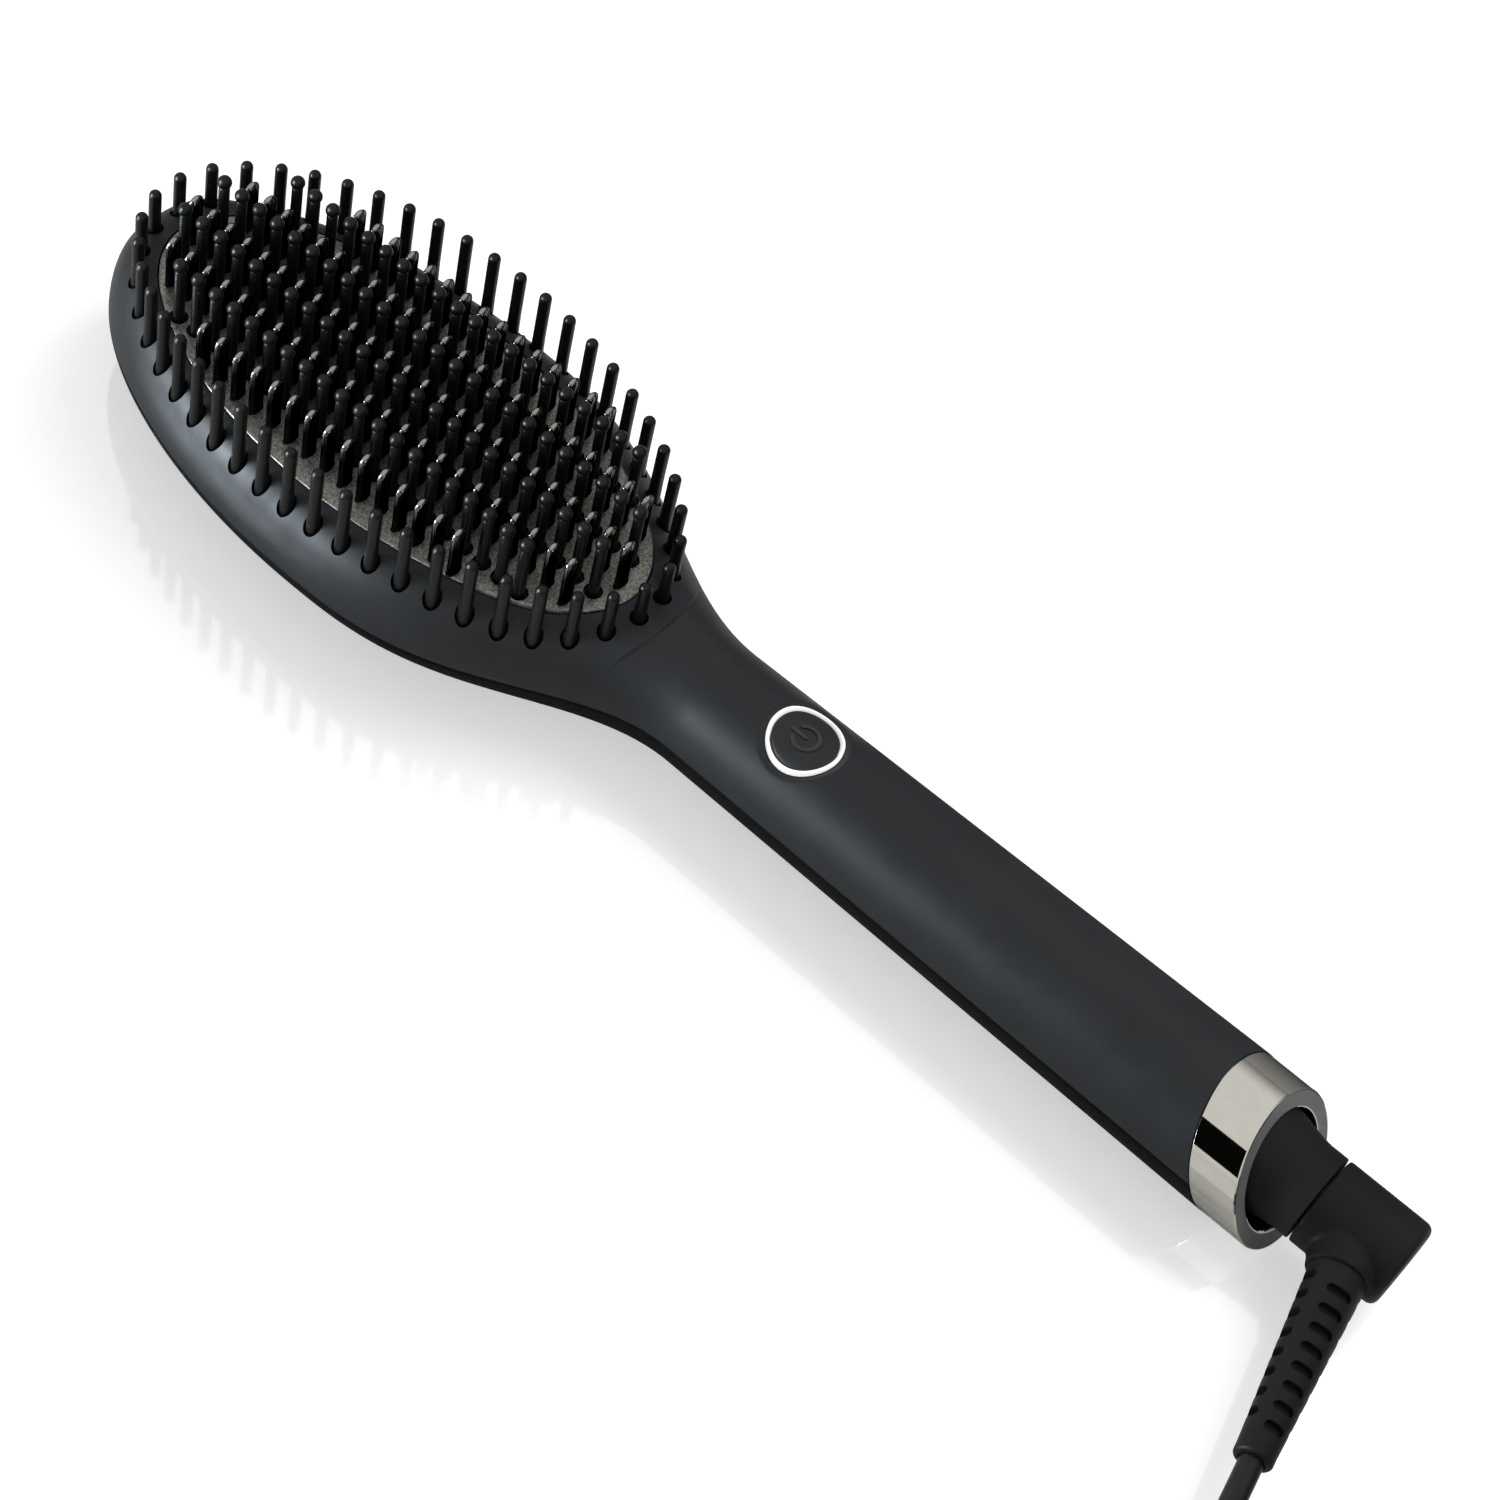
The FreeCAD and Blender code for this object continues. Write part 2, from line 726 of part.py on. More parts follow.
def heater_lead(side):
    """From a strip's end over the pad's edge, down through frame and shield, to the board's end."""
    row_y = side * 2 * dim.row_pitch
    run_z = pad_top + dim.lead_radius
    board_z = board_bottom + dim.board_thickness / 2
    drop_x = station(dim.lead_drop_reach)
    board_x = station(dim.board_reach)
    strip_x = field_x + dim.strip_length / 2
    points = [
        Vector(strip_x, row_y, run_z),
        Vector(drop_x, row_y, run_z),
        Vector(drop_x, row_y, board_z),
        Vector((drop_x + board_x) / 2, side * dim.lead_spread / 2, board_z),
        Vector(board_x, side * dim.lead_spread / 2, board_z),
    ]
    edges = [Part.makeLine(start, end) for start, end in zip(points, points[1:])]
    return tube("heater lead", edges, dim.lead_radius, 1)


heater_leads = feature("heater_leads", Part.Compound([heater_lead(-1), heater_lead(1)]))


# Sketches with every corner tied to the sheet

def corner_sketch(body, name, plane, corners):
    """A closed outline of straight lines, each corner held by two sheet formulas."""
    sketch = body.newObject("Sketcher::SketchObject", name)
    support = [item for item in body.Origin.OriginFeatures if item.Role == plane][0]
    sketch.AttachmentSupport = [(support, "")]
    sketch.MapMode = "FlatFace"
    count = len(corners)
    for index in range(count):
        turn = 2 * math.pi * index / count
        after = 2 * math.pi * (index + 1) / count
        sketch.addGeometry(Part.LineSegment(Vector(2 + math.cos(turn), 2 + math.sin(turn), 0),
                                            Vector(2 + math.cos(after), 2 + math.sin(after), 0)))
    for index in range(count):
        sketch.addConstraint(Sketcher.Constraint("Coincident", index, 2, (index + 1) % count, 1))
    for index, corner in enumerate(corners):
        for kind, axis, text in zip(("DistanceX", "DistanceY"), (-2, -1), corner):
            if text == "0":
                sketch.addConstraint(Sketcher.Constraint("PointOnObject", index, 1, axis))
            else:
                number = sketch.addConstraint(Sketcher.Constraint(kind, -1, 1, index, 1, 1.0))
                sketch.setExpression("Constraints[%d]" % number, formula(text))
    return sketch


def turned(label, reach, corners):
    """A body turned about the handle's axis; corners are a length along X from the reach and a radius."""
    body = doc.addObject("PartDesign::Body", label)
    body.Label = label
    sketch = corner_sketch(body, label + "_profile", "XZ_Plane", corners)
    turn = body.newObject("PartDesign::Revolution", label + "_turn")
    turn.Profile = sketch
    turn.ReferenceAxis = (sketch, ["H_Axis"])
    turn.Angle = 360
    return place(body, at(reach), "0", "ring_radius")


def padded(label, corners, height):
    body = doc.addObject("PartDesign::Body", label)
    body.Label = label
    sketch = corner_sketch(body, label + "_outline", "XY_Plane", corners)
    pad = body.newObject("PartDesign::Pad", label + "_pad")
    pad.Profile = sketch
    bind(pad, Length=height)
    return body


# Control board and what it carries

board_blank = padded("board_blank", (("0", "0"), ("board_length", "0"), ("board_length", "board_width"),
                                     ("0", "board_width")), "board_thickness")
place(board_blank, at("board_reach"), "-board_width / 2", BOARD_BOTTOM)
control_board = combine("Cut", "control_board", board_blank,
                        board_screw_holes("board_holes", "board_screw_radius + fit_clearance / 2",
                                          "cut_overrun"))


def board_screw(inset):
    x = station(dim.board_reach) + inset
    shank = Part.makeCylinder(dim.board_screw_radius, dim.board_screw_depth + dim.board_thickness,
                              Vector(x, 0, board_bottom - dim.board_screw_depth))
    head = Part.makeCylinder(dim.board_screw_head_radius, dim.board_screw_head_height,
                             Vector(x, 0, board_top))
    return shank.fuse(head).removeSplitter()


board_screws = feature("board_screws", Part.Compound([
    board_screw(dim.board_screw_inset), board_screw(dim.board_length - dim.board_screw_inset)]))

switch_block = box("switch_block", at("button_reach") + " - switch_size / 2", "0", BOARD_TOP,
                   "switch_size", "switch_size", "switch_height")
switch_bore = cylinder("switch_bore", at("button_reach"), "0",
                       BOARD_TOP + " + switch_height - switch_bore_depth",
                       "plunger_radius + fit_clearance", "switch_bore_depth + cut_overrun")
tact_switch = combine("Cut", "tact_switch", switch_block, switch_bore)
PLUNGER_BOTTOM = BOARD_TOP + " + switch_height - switch_bore_depth + plunger_lift"
switch_plunger = cylinder("switch_plunger", at("button_reach"), "0", PLUNGER_BOTTOM,
                          "plunger_radius", "plunger_height")


def ring_led(name, along, across):
    """Four lamps on the diagonals of the switch."""
    return box(name, at("button_reach") + " + %d * led_circle * cos(45 deg) - led_length / 2" % along,
               "%d * led_circle * cos(45 deg)" % across, BOARD_TOP, "led_length", "led_width", "led_height")


ring_leds = joined("Compound", "ring_leds", [
    ring_led("led_head_near", -1, -1), ring_led("led_cord_near", 1, -1),
    ring_led("led_head_far", -1, 1), ring_led("led_cord_far", 1, 1)])
buzzer = cylinder("buzzer", at("buzzer_reach"), "0", BOARD_TOP, "buzzer_radius", "buzzer_height")
capacitor = box("capacitor", at("capacitor_reach"), "-mains_fuse_radius", BOARD_TOP,
                "capacitor_length", "capacitor_width", "capacitor_height")
triac = box("triac", at("triac_reach"), "0", BOARD_TOP, "triac_length", "triac_width", "triac_height")
mains_fuse = along_x(rod("mains_fuse", at("mains_fuse_reach"), "mains_fuse_side",
                         BOARD_TOP + " + mains_fuse_radius",
                              "mains_fuse_radius", "mains_fuse_length"))

# Power button and light ring, both cut flush with the handle

ring_stock = cylinder("ring_stock", at("button_reach"), "0", BOARD_TOP, "light_ring_radius", "face_height")
ring_hollow = cylinder("ring_hollow", at("button_reach"), "0", BOARD_TOP + " - cut_overrun",
                       "light_ring_radius - light_ring_wall", "face_height + 2 * cut_overrun")
ring_tube = combine("Cut", "ring_tube", ring_stock, ring_hollow)
light_ring = combine("Common", "light_ring", ring_tube, crown_outer)
CAP_BOTTOM = "ring_radius + neck_radius - button_cap_depth"
cap_stock = cylinder("cap_stock", at("button_reach"), "0", CAP_BOTTOM,
                     "light_ring_radius - light_ring_wall - button_gap", "face_height")
cap_flush = combine("Common", "cap_flush", cap_stock, crown_outer)
STEM_BOTTOM = PLUNGER_BOTTOM + " + plunger_height"
button_stem = cylinder("button_stem", at("button_reach"), "0", STEM_BOTTOM,
                       "button_stem_radius", "%s - (%s)" % (CAP_BOTTOM, STEM_BOTTOM))
power_button = joined("MultiFuse", "power_button", [cap_flush, button_stem])

# End ring

ring_outer = along_x(cylinder("ring_outer", at("ring_reach") + " - ring_radius", "0", "ring_radius",
                              "ring_radius", "2 * ring_radius + 2 * ring_width"))
ring_inner = along_x(cylinder("ring_inner", at("ring_reach") + " - 2 * ring_radius", "0", "ring_radius",
                              "ring_bore", "4 * ring_radius + 2 * ring_width"))
ring_sleeve = combine("Cut", "ring_sleeve", ring_outer, ring_inner)
ring_slab = slanted_block("ring_slab", dim.ring_reach, "ring_width * cos(ring_slant * 1 deg)")
end_ring = combine("Common", "end_ring", ring_sleeve, ring_slab)

# Swivel: the cap is fixed in the handle, and the spindle turns in its bore

CAP_LENGTH = "seam_reach - cap_reach"
BEARING_RADIUS = "spindle_radius + running_clearance"
end_cap = turned("end_cap", "cap_reach", (
    ("0", "cap_cavity_radius"),
    ("0", "cap_flange_radius"),
    ("cap_flange_length", "cap_flange_radius"),
    ("cap_flange_length", "cap_body_radius"),
    ("cap_taper_reach - cap_reach", "cap_body_radius"),
    ("cap_waist_reach - cap_reach", "seam_radius"),
    (CAP_LENGTH, "seam_radius"),
    (CAP_LENGTH, BEARING_RADIUS),
    ("bearing_reach - cap_reach", BEARING_RADIUS),
    ("bearing_reach - cap_reach", "cap_cavity_radius"),
))
FLANGE_END = "bearing_reach - seat_clearance - spindle_reach"
FLANGE_START = FLANGE_END + " - collar_flange_width"
SPINDLE_LENGTH = "seam_reach + seam_gap + spindle_insert - spindle_reach"
swivel_spindle = turned("swivel_spindle", "spindle_reach", (
    ("0", "spindle_bore"),
    ("0", "spindle_radius"),
    (FLANGE_START, "spindle_radius"),
    (FLANGE_START, "collar_flange_radius"),
    (FLANGE_END, "collar_flange_radius"),
    (FLANGE_END, "spindle_radius"),
    (SPINDLE_LENGTH, "spindle_radius"),
    (SPINDLE_LENGTH, "spindle_bore"),
))


def slip_ring(number):
    start = "spindle_reach + slip_ring_inset + %d * slip_ring_pitch" % number
    disc = along_x(cylinder("slip_disc_%d" % number, at(start), "0", "ring_radius",
                            "slip_ring_radius", "slip_ring_width"))
    bore = along_x(cylinder("slip_bore_%d" % number, at(start) + " - cut_overrun", "0", "ring_radius",
                            "spindle_radius", "slip_ring_width + 2 * cut_overrun"))
    return combine("Cut", "slip_ring_%d" % number, disc, bore)


slip_rings = joined("Compound", "slip_rings", [slip_ring(0), slip_ring(1)])
LEAD_HEIGHT = BOARD_BOTTOM + " + board_thickness / 2"
BRUSH_REACH = ("spindle_reach + slip_ring_inset + %d * slip_ring_pitch"
               " + (slip_ring_width - brush_length) / 2")


def contact_brush(number, side):
    """A block beside its slip ring, at the height of the mains lead that feeds it."""
    start = BRUSH_REACH % number
    middle = "%d * (slip_ring_radius + brush_gap + brush_width / 2)" % side
    return box("contact_brush_%d" % number, at(start), middle, LEAD_HEIGHT + " - brush_height / 2",
               "brush_length", "brush_width", "brush_height")


def mains_lead(number, side):
    start = "board_reach + board_length"
    end = BRUSH_REACH % number
    return along_x(rod("mains_lead_%d" % number, at(start), "%d * mains_lead_spread / 2" % side, LEAD_HEIGHT,
                            "mains_lead_radius", "%s - (%s)" % (end, start)))


contact_brushes = joined("Compound", "contact_brushes", [contact_brush(0, -1), contact_brush(1, 1)])
mains_leads = joined("Compound", "mains_leads", [mains_lead(0, -1), mains_lead(1, 1)])

# Elbow: a barrel on the axis and a collar that leans away from the handle

ELBOW_LENGTH = "overall_length - seam_reach - seam_gap"
elbow_barrel = turned("elbow_barrel", "seam_reach + seam_gap", (
    ("0", "0"),
    ("0", "seam_radius"),
    (ELBOW_LENGTH + " - elbow_end_round", "seam_radius"),
    (ELBOW_LENGTH, "seam_radius - elbow_end_round"),
    (ELBOW_LENGTH, "0"),
))
exit_turn = Rotation(Vector(0, 0, 1), dim.exit_lean).multVec(Vector(0, -1, 0))
exit_origin = Vector(station(dim.exit_reach), 0, axis_height)


def on_exit(item, distance):
    """Stands an upright primitive on the exit line, its Z axis along the cord."""
    item.Placement = Placement(exit_origin + exit_turn * distance, Rotation(Vector(0, 0, 1), exit_turn))
    return item


def exit_piece(kind, label, distance, **properties):
    item = doc.addObject("Part::" + kind, label)
    item.Label = label
    return on_exit(bind(item, **properties), distance)


exit_collar = exit_piece("Cylinder", "exit_collar", 0, Radius="collar_radius", Height="collar_length")


def elbow_web():
    """From nearly the barrel's whole length to the collar's round mouth."""
    across = exit_turn.cross(Vector(0, 0, 1)).negative()
    rings = []
    for distance, roundness, thickness in ((0, WEB_ROUND_SHARE, WEB_THICKNESS_SHARE * dim.seam_radius),
                                           (dim.collar_length, 1, dim.collar_radius)):
        centre = exit_origin + exit_turn * distance
        low = station(dim.seam_reach) + 2 * dim.seam_gap - centre.x
        high = dim.overall_length / 2 - 2 * dim.seam_gap - centre.x
        if distance:
            low = -dim.collar_radius
            high = dim.collar_radius
        corners = []
        for side in range(RELIEF_SIDES):
            turn = 2 * math.pi * side / RELIEF_SIDES
            reach = math.copysign(abs(math.cos(turn)) ** roundness, math.cos(turn))
            rise = math.copysign(abs(math.sin(turn)) ** roundness, math.sin(turn))
            corners.append(centre + across * ((low + high) / 2 + (high - low) / 2 * reach)
                           + Vector(0, 0, thickness * rise))
        rings.append(Part.makePolygon(corners + corners[:1]))
    return Part.makeLoft(rings, True, True)


elbow_solid = joined("MultiFuse", "elbow_solid",
                     [elbow_barrel, exit_collar, feature("elbow_web", elbow_web())])
elbow_bore = along_x(cylinder("elbow_bore", at("seam_reach") + " - cut_overrun", "0", "ring_radius",
                              "spindle_radius", "seam_gap + spindle_insert + cut_overrun"))
swivel_elbow = combine("Cut", "swivel_elbow", elbow_solid, elbow_bore)

# Strain relief: a slotted cone with a plain lip

relief_end = dim.collar_length + dim.relief_length
relief_levels = ((dim.relief_root_radius, 0), (dim.relief_tip_radius, dim.relief_length))
relief_cone = on_exit(feature("relief_cone", faceted_peg(relief_levels, RELIEF_SIDES)), dim.collar_length)


def relief_slots():
    """Four columns of slots, neighbouring columns half a pitch apart."""
    taper = (dim.relief_root_radius - dim.relief_tip_radius) / dim.relief_length
    first = (dim.relief_length - dim.relief_lip - (SLOT_COUNT - 0.5) * dim.slot_pitch) / 2
    slots = []
    for column in range(4):
        for index in range(SLOT_COUNT):
            along = first + (index + 0.5 * (column % 2)) * dim.slot_pitch
            floor = dim.relief_root_radius - taper * along - dim.slot_depth
            slot = Part.makeBox(dim.slot_depth + dim.cut_overrun, dim.slot_span, dim.slot_width,
                                Vector(floor, -dim.slot_span / 2, along - dim.slot_width / 2))
            slot.rotate(Vector(0, 0, 0), Vector(0, 0, 1), 45 + 90 * column)
            slots.append(slot)
    return Part.Compound(slots)


slot_tools = on_exit(feature("slot_tools", relief_slots()), dim.collar_length)
strain_relief = combine("Cut", "strain_relief", relief_cone, slot_tools)


# Cord

def cord_run(label, points):
    """A tube on the route's points, each arc as large as its shorter run allows."""
    trims = []
    for before, corner, after in zip(points, points[1:], points[2:]):
        shorter = min((corner - before).Length, (after - corner).Length)
        turn = (corner - before).getAngle(after - corner)
        trims.append(BEND_SHARE * shorter)
        print("%s: radius %.0f at a turn of %.0f degrees"
              % (label, BEND_SHARE * shorter / math.tan(turn / 2), math.degrees(turn)))
    return tube(label, bent_path(points, trims), dim.cord_radius)


def route(start, heading, steps):
    points = [start]
    for along, height in steps:
        spot = start + heading * along
        points.append(Vector(spot.x, spot.y, height))
    return points


lead_points = route(exit_origin + exit_turn * relief_end, exit_turn, LEAD_ROUTE)
cord_lead = feature("cord_lead", cord_run("cord lead", lead_points))
coil_start = lead_points[-1]
straight_end = 2 * dim.cord_radius
coil_side = Vector(0, 0, 1).cross(exit_turn)
coil_centre = coil_start + exit_turn * straight_end + coil_side * dim.coil_outer_radius


def biarc(start, heading, end, final):
    """Two arcs from start to end that keep both headings."""
    chord = end - start
    bend = 2 * (1 - heading.dot(final))
    slant = 2 * chord.dot(heading + final)
    reach = (-slant + math.sqrt(slant ** 2 + 4 * bend * chord.dot(chord))) / (2 * bend)
    first = start + heading * reach
    second = end - final * reach
    joint = (first + second) * 0.5
    return [arc_through(start, first, joint), arc_through(joint, second, end)]


def coil_stations():
    """Half-turn stations of the coil, layer by layer, spiralling in and out by turns."""
    stations = []
    turn = math.pi + math.radians(dim.exit_lean)
    inner = dim.coil_outer_radius - COIL_HALF_TURNS / 2 * dim.coil_turn_pitch
    for layer in range(COIL_LAYERS):
        inwards = layer % 2 == 0
        radius = dim.coil_outer_radius if inwards else inner
        step = -dim.coil_turn_pitch / 2 if inwards else dim.coil_turn_pitch / 2
        for half in range(COIL_HALF_TURNS + 1):
            out = Vector(math.cos(turn), math.sin(turn), 0)
            along = Vector(-math.sin(turn), math.cos(turn), 0)
            spot = coil_centre + out * (radius + half * step) + Vector(0, 0, layer * dim.coil_turn_pitch)
            heading = along * (radius + half * step) + out * (step / math.pi)
            ends = (layer, half) in ((0, 0), (COIL_LAYERS - 1, COIL_HALF_TURNS))
            stations.append((spot, along if ends else heading.normalize()))
            turn += math.pi
    return stations


def coil_edges():
    stations = coil_stations()
    edges = [Part.makeLine(coil_start, stations[0][0])]
    for (spot, heading), (after, final) in zip(stations, stations[1:]):
        edges.extend(biarc(spot, heading, after, final))
    last, heading = stations[-1]
    edges.append(Part.makeLine(last, last + heading * straight_end))
    return edges


def least_gap(edges, samples):
    """The smallest clear distance between stretches of the cord more than a third of a turn apart."""
    points = []
    run = 0.0
    for edge in edges:
        for index in range(samples):
            share = (index + 0.5) / samples
            spot = edge.valueAt(edge.FirstParameter + share * (edge.LastParameter - edge.FirstParameter))
            points.append((run + share * edge.Length, spot))
        run += edge.Length
    apart = dim.coil_outer_radius
    gap = min(one.distanceToPoint(other) for index, (near, one) in enumerate(points)
              for far, other in points[index + 1:] if far - near > apart)
    return gap - 2 * dim.cord_radius


coil_path = coil_edges()
print("cord coil: least gap to itself %.2f" % least_gap(coil_path, 8))
cord_coil = feature("cord_coil", tube("cord coil", coil_path, dim.cord_radius))
coil_end = coil_path[-1].valueAt(coil_path[-1].LastParameter)
tail_points = route(coil_end, exit_turn.negative(), TAIL_ROUTE)
cord_tail = feature("cord_tail", cord_run("cord tail", tail_points))
plug_start = tail_points[-1]


def coil_tie():
    """A strap round the coil's section on its far side."""
    wound = COIL_HALF_TURNS / 2 * dim.coil_turn_pitch
    inner = dim.coil_outer_radius - wound - dim.cord_radius - dim.tie_slack
    outer = dim.coil_outer_radius + dim.cord_radius + dim.tie_slack
    low = coil_start.z - dim.cord_radius
    high = low + (COIL_LAYERS - 1) * dim.coil_turn_pitch + 2 * dim.cord_radius
    slack = dim.fit_clearance
    strap = dim.tie_thickness
    corner = Vector(coil_centre.x - dim.tie_width / 2, coil_centre.y + inner - strap, low - slack - strap)
    block = Part.makeBox(dim.tie_width, outer - inner + 2 * strap, high - low + 2 * (slack + strap), corner)
    corner = Vector(coil_centre.x - dim.tie_width, coil_centre.y + inner, low - slack)
    window = Part.makeBox(2 * dim.tie_width, outer - inner, high - low + 2 * slack, corner)
    return block.cut(window)


cord_tie = feature("cord_tie", coil_tie())


plug_turn = Placement(plug_start, Rotation(Vector(0, 1, 0), exit_turn.negative()))


def plug_moulding():
    """A flat two-pin plug with rounded edges and a tapering neck towards its cord."""
    block = Part.makeBox(dim.plug_width, dim.plug_length, dim.plug_height,
                         Vector(-dim.plug_width / 2, dim.plug_neck_length, -dim.plug_height / 2))
    lengthwise = [edge for edge in block.Edges if abs(edge.tangentAt(edge.FirstParameter).y) > 0.5]
    block = block.makeFillet(dim.plug_round, lengthwise)
    neck = faceted_peg(((dim.relief_tip_radius, 0), (dim.plug_neck_radius, dim.plug_neck_length)),
                       RELIEF_SIDES)
    neck.Placement = Placement(Vector(0, 0, 0), Rotation(Vector(0, 0, 1), Vector(0, 1, 0)))
    moulding = block.fuse(neck).removeSplitter()
    moulding.Placement = plug_turn
    return moulding


def plug_pin(side):
    face = Vector(side * dim.plug_pin_spread / 2, dim.plug_neck_length + dim.plug_length, 0)
    pin = Part.makeCylinder(dim.plug_pin_radius, dim.plug_pin_length, face, Vector(0, 1, 0))
    pin.Placement = plug_turn.multiply(pin.Placement)
    return pin


plug_body = feature("plug_body", plug_moulding())
plug_pins = feature("plug_pins", Part.Compound([plug_pin(-1), plug_pin(1)]))

NODES = [
    front_shell, back_shell, heater_plate, heated_fins, inner_bristles, outer_bristles, bristle_pad,
    heater_frame, heat_shield, ceramic_heaters, mica_strips, thermistor, thermal_fuse, heater_leads,
    control_board, board_screws,
    tact_switch, switch_plunger, ring_leds, buzzer, capacitor, triac, mains_fuse, mains_leads, light_ring,
    power_button, end_ring, end_cap, swivel_spindle, slip_rings, contact_brushes,
    swivel_elbow, strain_relief, cord_lead, cord_coil, cord_tie, cord_tail, plug_body, plug_pins,
]


def check_and_export():
    doc.recompute()
    for item in doc.Objects:
        if "Invalid" in item.State or "Error" in item.State:
            raise RuntimeError("%s failed to build" % item.Label)
    for node in NODES:
        if node.Shape.isNull() or not node.Shape.isValid() or not node.Shape.Solids:
            raise RuntimeError("%s has no valid solid" % node.Label)
    for node in NODES:
        node.Shape.exportStep("parts/%s.step" % node.Label)


check_and_export()
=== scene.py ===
"""Looks of a heated styling brush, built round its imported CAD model.

Lengths are in millimetres and become metres where a mesh or curve is made.
Lamps and the camera are placed in metres.
"""
import bmesh
import bpy
from math import atan2, copysign, cos, dist, hypot, pi, radians, sin, sqrt, tan
from mathutils import Matrix, Vector


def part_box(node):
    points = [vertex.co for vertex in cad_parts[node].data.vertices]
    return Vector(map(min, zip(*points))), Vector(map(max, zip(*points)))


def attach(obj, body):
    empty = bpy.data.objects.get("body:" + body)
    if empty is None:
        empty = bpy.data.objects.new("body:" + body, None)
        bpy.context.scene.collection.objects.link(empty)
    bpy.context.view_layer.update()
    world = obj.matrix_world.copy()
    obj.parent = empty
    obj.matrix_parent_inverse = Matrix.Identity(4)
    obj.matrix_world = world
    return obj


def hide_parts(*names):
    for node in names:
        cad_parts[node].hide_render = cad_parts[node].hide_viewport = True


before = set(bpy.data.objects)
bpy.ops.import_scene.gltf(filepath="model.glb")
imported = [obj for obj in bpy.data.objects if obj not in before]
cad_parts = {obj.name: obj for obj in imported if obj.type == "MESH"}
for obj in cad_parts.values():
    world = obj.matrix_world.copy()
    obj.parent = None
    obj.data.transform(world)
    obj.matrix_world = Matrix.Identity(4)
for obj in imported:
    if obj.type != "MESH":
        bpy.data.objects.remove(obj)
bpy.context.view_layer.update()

MM = 0.001
SHARP_ANGLE = radians(38)
WELD_DISTANCE = 1e-7

# Shell form
TIP_X = -154.0
HEAD_LENGTH = 148.8
HEAD_WIDTH = 70.6
HEAD_MIDDLE_X = TIP_X + HEAD_LENGTH / 2
AXIS_Z = 14.45
FACE_Z = 28.7
EDGE_ROUND = 9.5
EDGE_BLEND = 6
REST_SINK = 0.4
NECK_X = -6.0
NECK_RADIUS = 12.6
NECK_EASE = 1.35
CROWN_FLAT = 1.0
FLAT_SHARE = 0.3
WALL = 2.2
RING_X = 117.2
RING_RADIUS = 14.45
RING_SLANT = tan(radians(25))
SLANT_START = 12.0
SLANT_ROUNDS = 3
TIP_ROUND_SHARE = 0.75
PARTING_GROOVE = 0.22
PARTING_FADE = 2.0
PARTING_TIP = 1.0
CREASE_X = -18.3
CREASE_BOW = 0.0183
CREASE_HALF_WIDTH = 11.7
CREASE_STEP = 0.4
CREASE_STEP_ZONE = (-0.1, 0.2)
CREASE_FADE = (0.75, 1.15)
CREASE_EASE = 6.0

# Steps of the shell's mesh, across and then from the tip to the end ring
CROSS_STEPS = 52
TIP_STEPS = 44
HEAD_STEPS = 40
CREASE_STEPS = 44
NECK_STEPS = 11
BUTTON_STEPS = 64
HANDLE_STEPS = 24
CREASE_ZONE = (-5.0, 1.5)
BUTTON_ZONE = 10.0

# Heated field; a flare is how much wider a form is at which height above the plate
FIELD_X = -85.0
PLATE_LENGTH = 116.6
PLATE_WIDTH = 52.6
PLATE_THICKNESS = 2.0
PLATE_BEVEL = 0.35
PLATE_BEVEL_STEPS = 3
PLATE_GAP = 0.25
PLATE_SIDES = 160
LATTICE_PITCH = 4.55
ROW_PITCH = 5.1
FIN_HALF_ROWS = {-4: 7, -2: 11, 0: 12, 2: 11, 4: 7}
BALL_HALF_ROWS = {-3: 10, -1: 12, 1: 12, 3: 10}
FIN_WIDTH = 3.8
FIN_THICKNESS = 1.7
FIN_HEIGHT = 12.3
FIN_FLARE = ((0.12, 0.0), (0.03, 0.15), (0.0, 0.5))
FIN_SIDES = 20
FIN_LENS_POWER = 0.15
FIN_CREST_STEPS = 9
FIN_CREST_POWER = 0.75
FOOT_RADIUS = 1.75
FOOT_DROP = 0.7
FOOT_BEVEL = 0.2
FOOT_GAP = 0.1
STEM_RADIUS = 1.12
STEM_FLARE = ((0.25, -FOOT_DROP), (0.06, 0.2), (0.0, 1.2))
STEM_TAPER = 0.96
BALL_RADIUS = 1.42
BALL_Z = 43.18
BALL_NECK = 1.05
BALL_NECK_TURN = -55
BRISTLE_SIDES = 18
PIN_COUNT = 46
PIN_RING_LENGTH = 124.6
PIN_RING_WIDTH = 61.2
PIN_RING_STEPS = 3600
PIN_RADIUS = 1.22
PIN_ROOT_FLARE = 0.1
PIN_TAPER = (-4.0, 2.0)
PIN_TIP_Z = 42.9
PIN_CROWN = 4.2
PIN_ROOT_Z = 17.4
PIN_HOLE_RADIUS = 1.8
PEG_SIDES = 24
CUT_REACH = 8.0
PLATE_CUT_REACH = 1.0

# Button and light ring
BUTTON_X = 14.7
BUTTON_SIDES = 96
BUTTON_WELL = 3.0
BUTTON_GAP = 0.25
BUTTON_DEPTH = 3.2
# Share of the radius, how far in from there, height, and how much of the handle's crown it follows
BUTTON_LEVELS = (
    (0.0, 0.0, -BUTTON_DEPTH, 0.0), (1.0, 0.0, -BUTTON_DEPTH, 0.0), (1.0, 0.0, -0.75, 1.0),
    (1.0, 0.15, -0.42, 1.0), (1.0, 0.5, -0.3, 1.0), (0.75, 0.0, -0.32, 0.9), (0.5, 0.0, -0.36, 0.85),
    (0.0, 0.0, -0.4, 0.85),
)
BUTTON_STEM_RADIUS = 1.6
BUTTON_STEM_Z = 19.8
BUTTON_STEM_SINK = 0.4
RING_LIGHT_RADIUS = 7.25
RING_LIGHT_WALL = 0.62
RING_LIGHT_DEPTH = 9.0
RING_LIGHT_BEVEL = 0.12
RING_LIGHT_DROP = 0.25
RING_LIGHT_CROWN = 0.1
MOAT_OUTER = 8.7
MOAT_DEPTH = 0.95
SIGN_RADIUS = 2.55
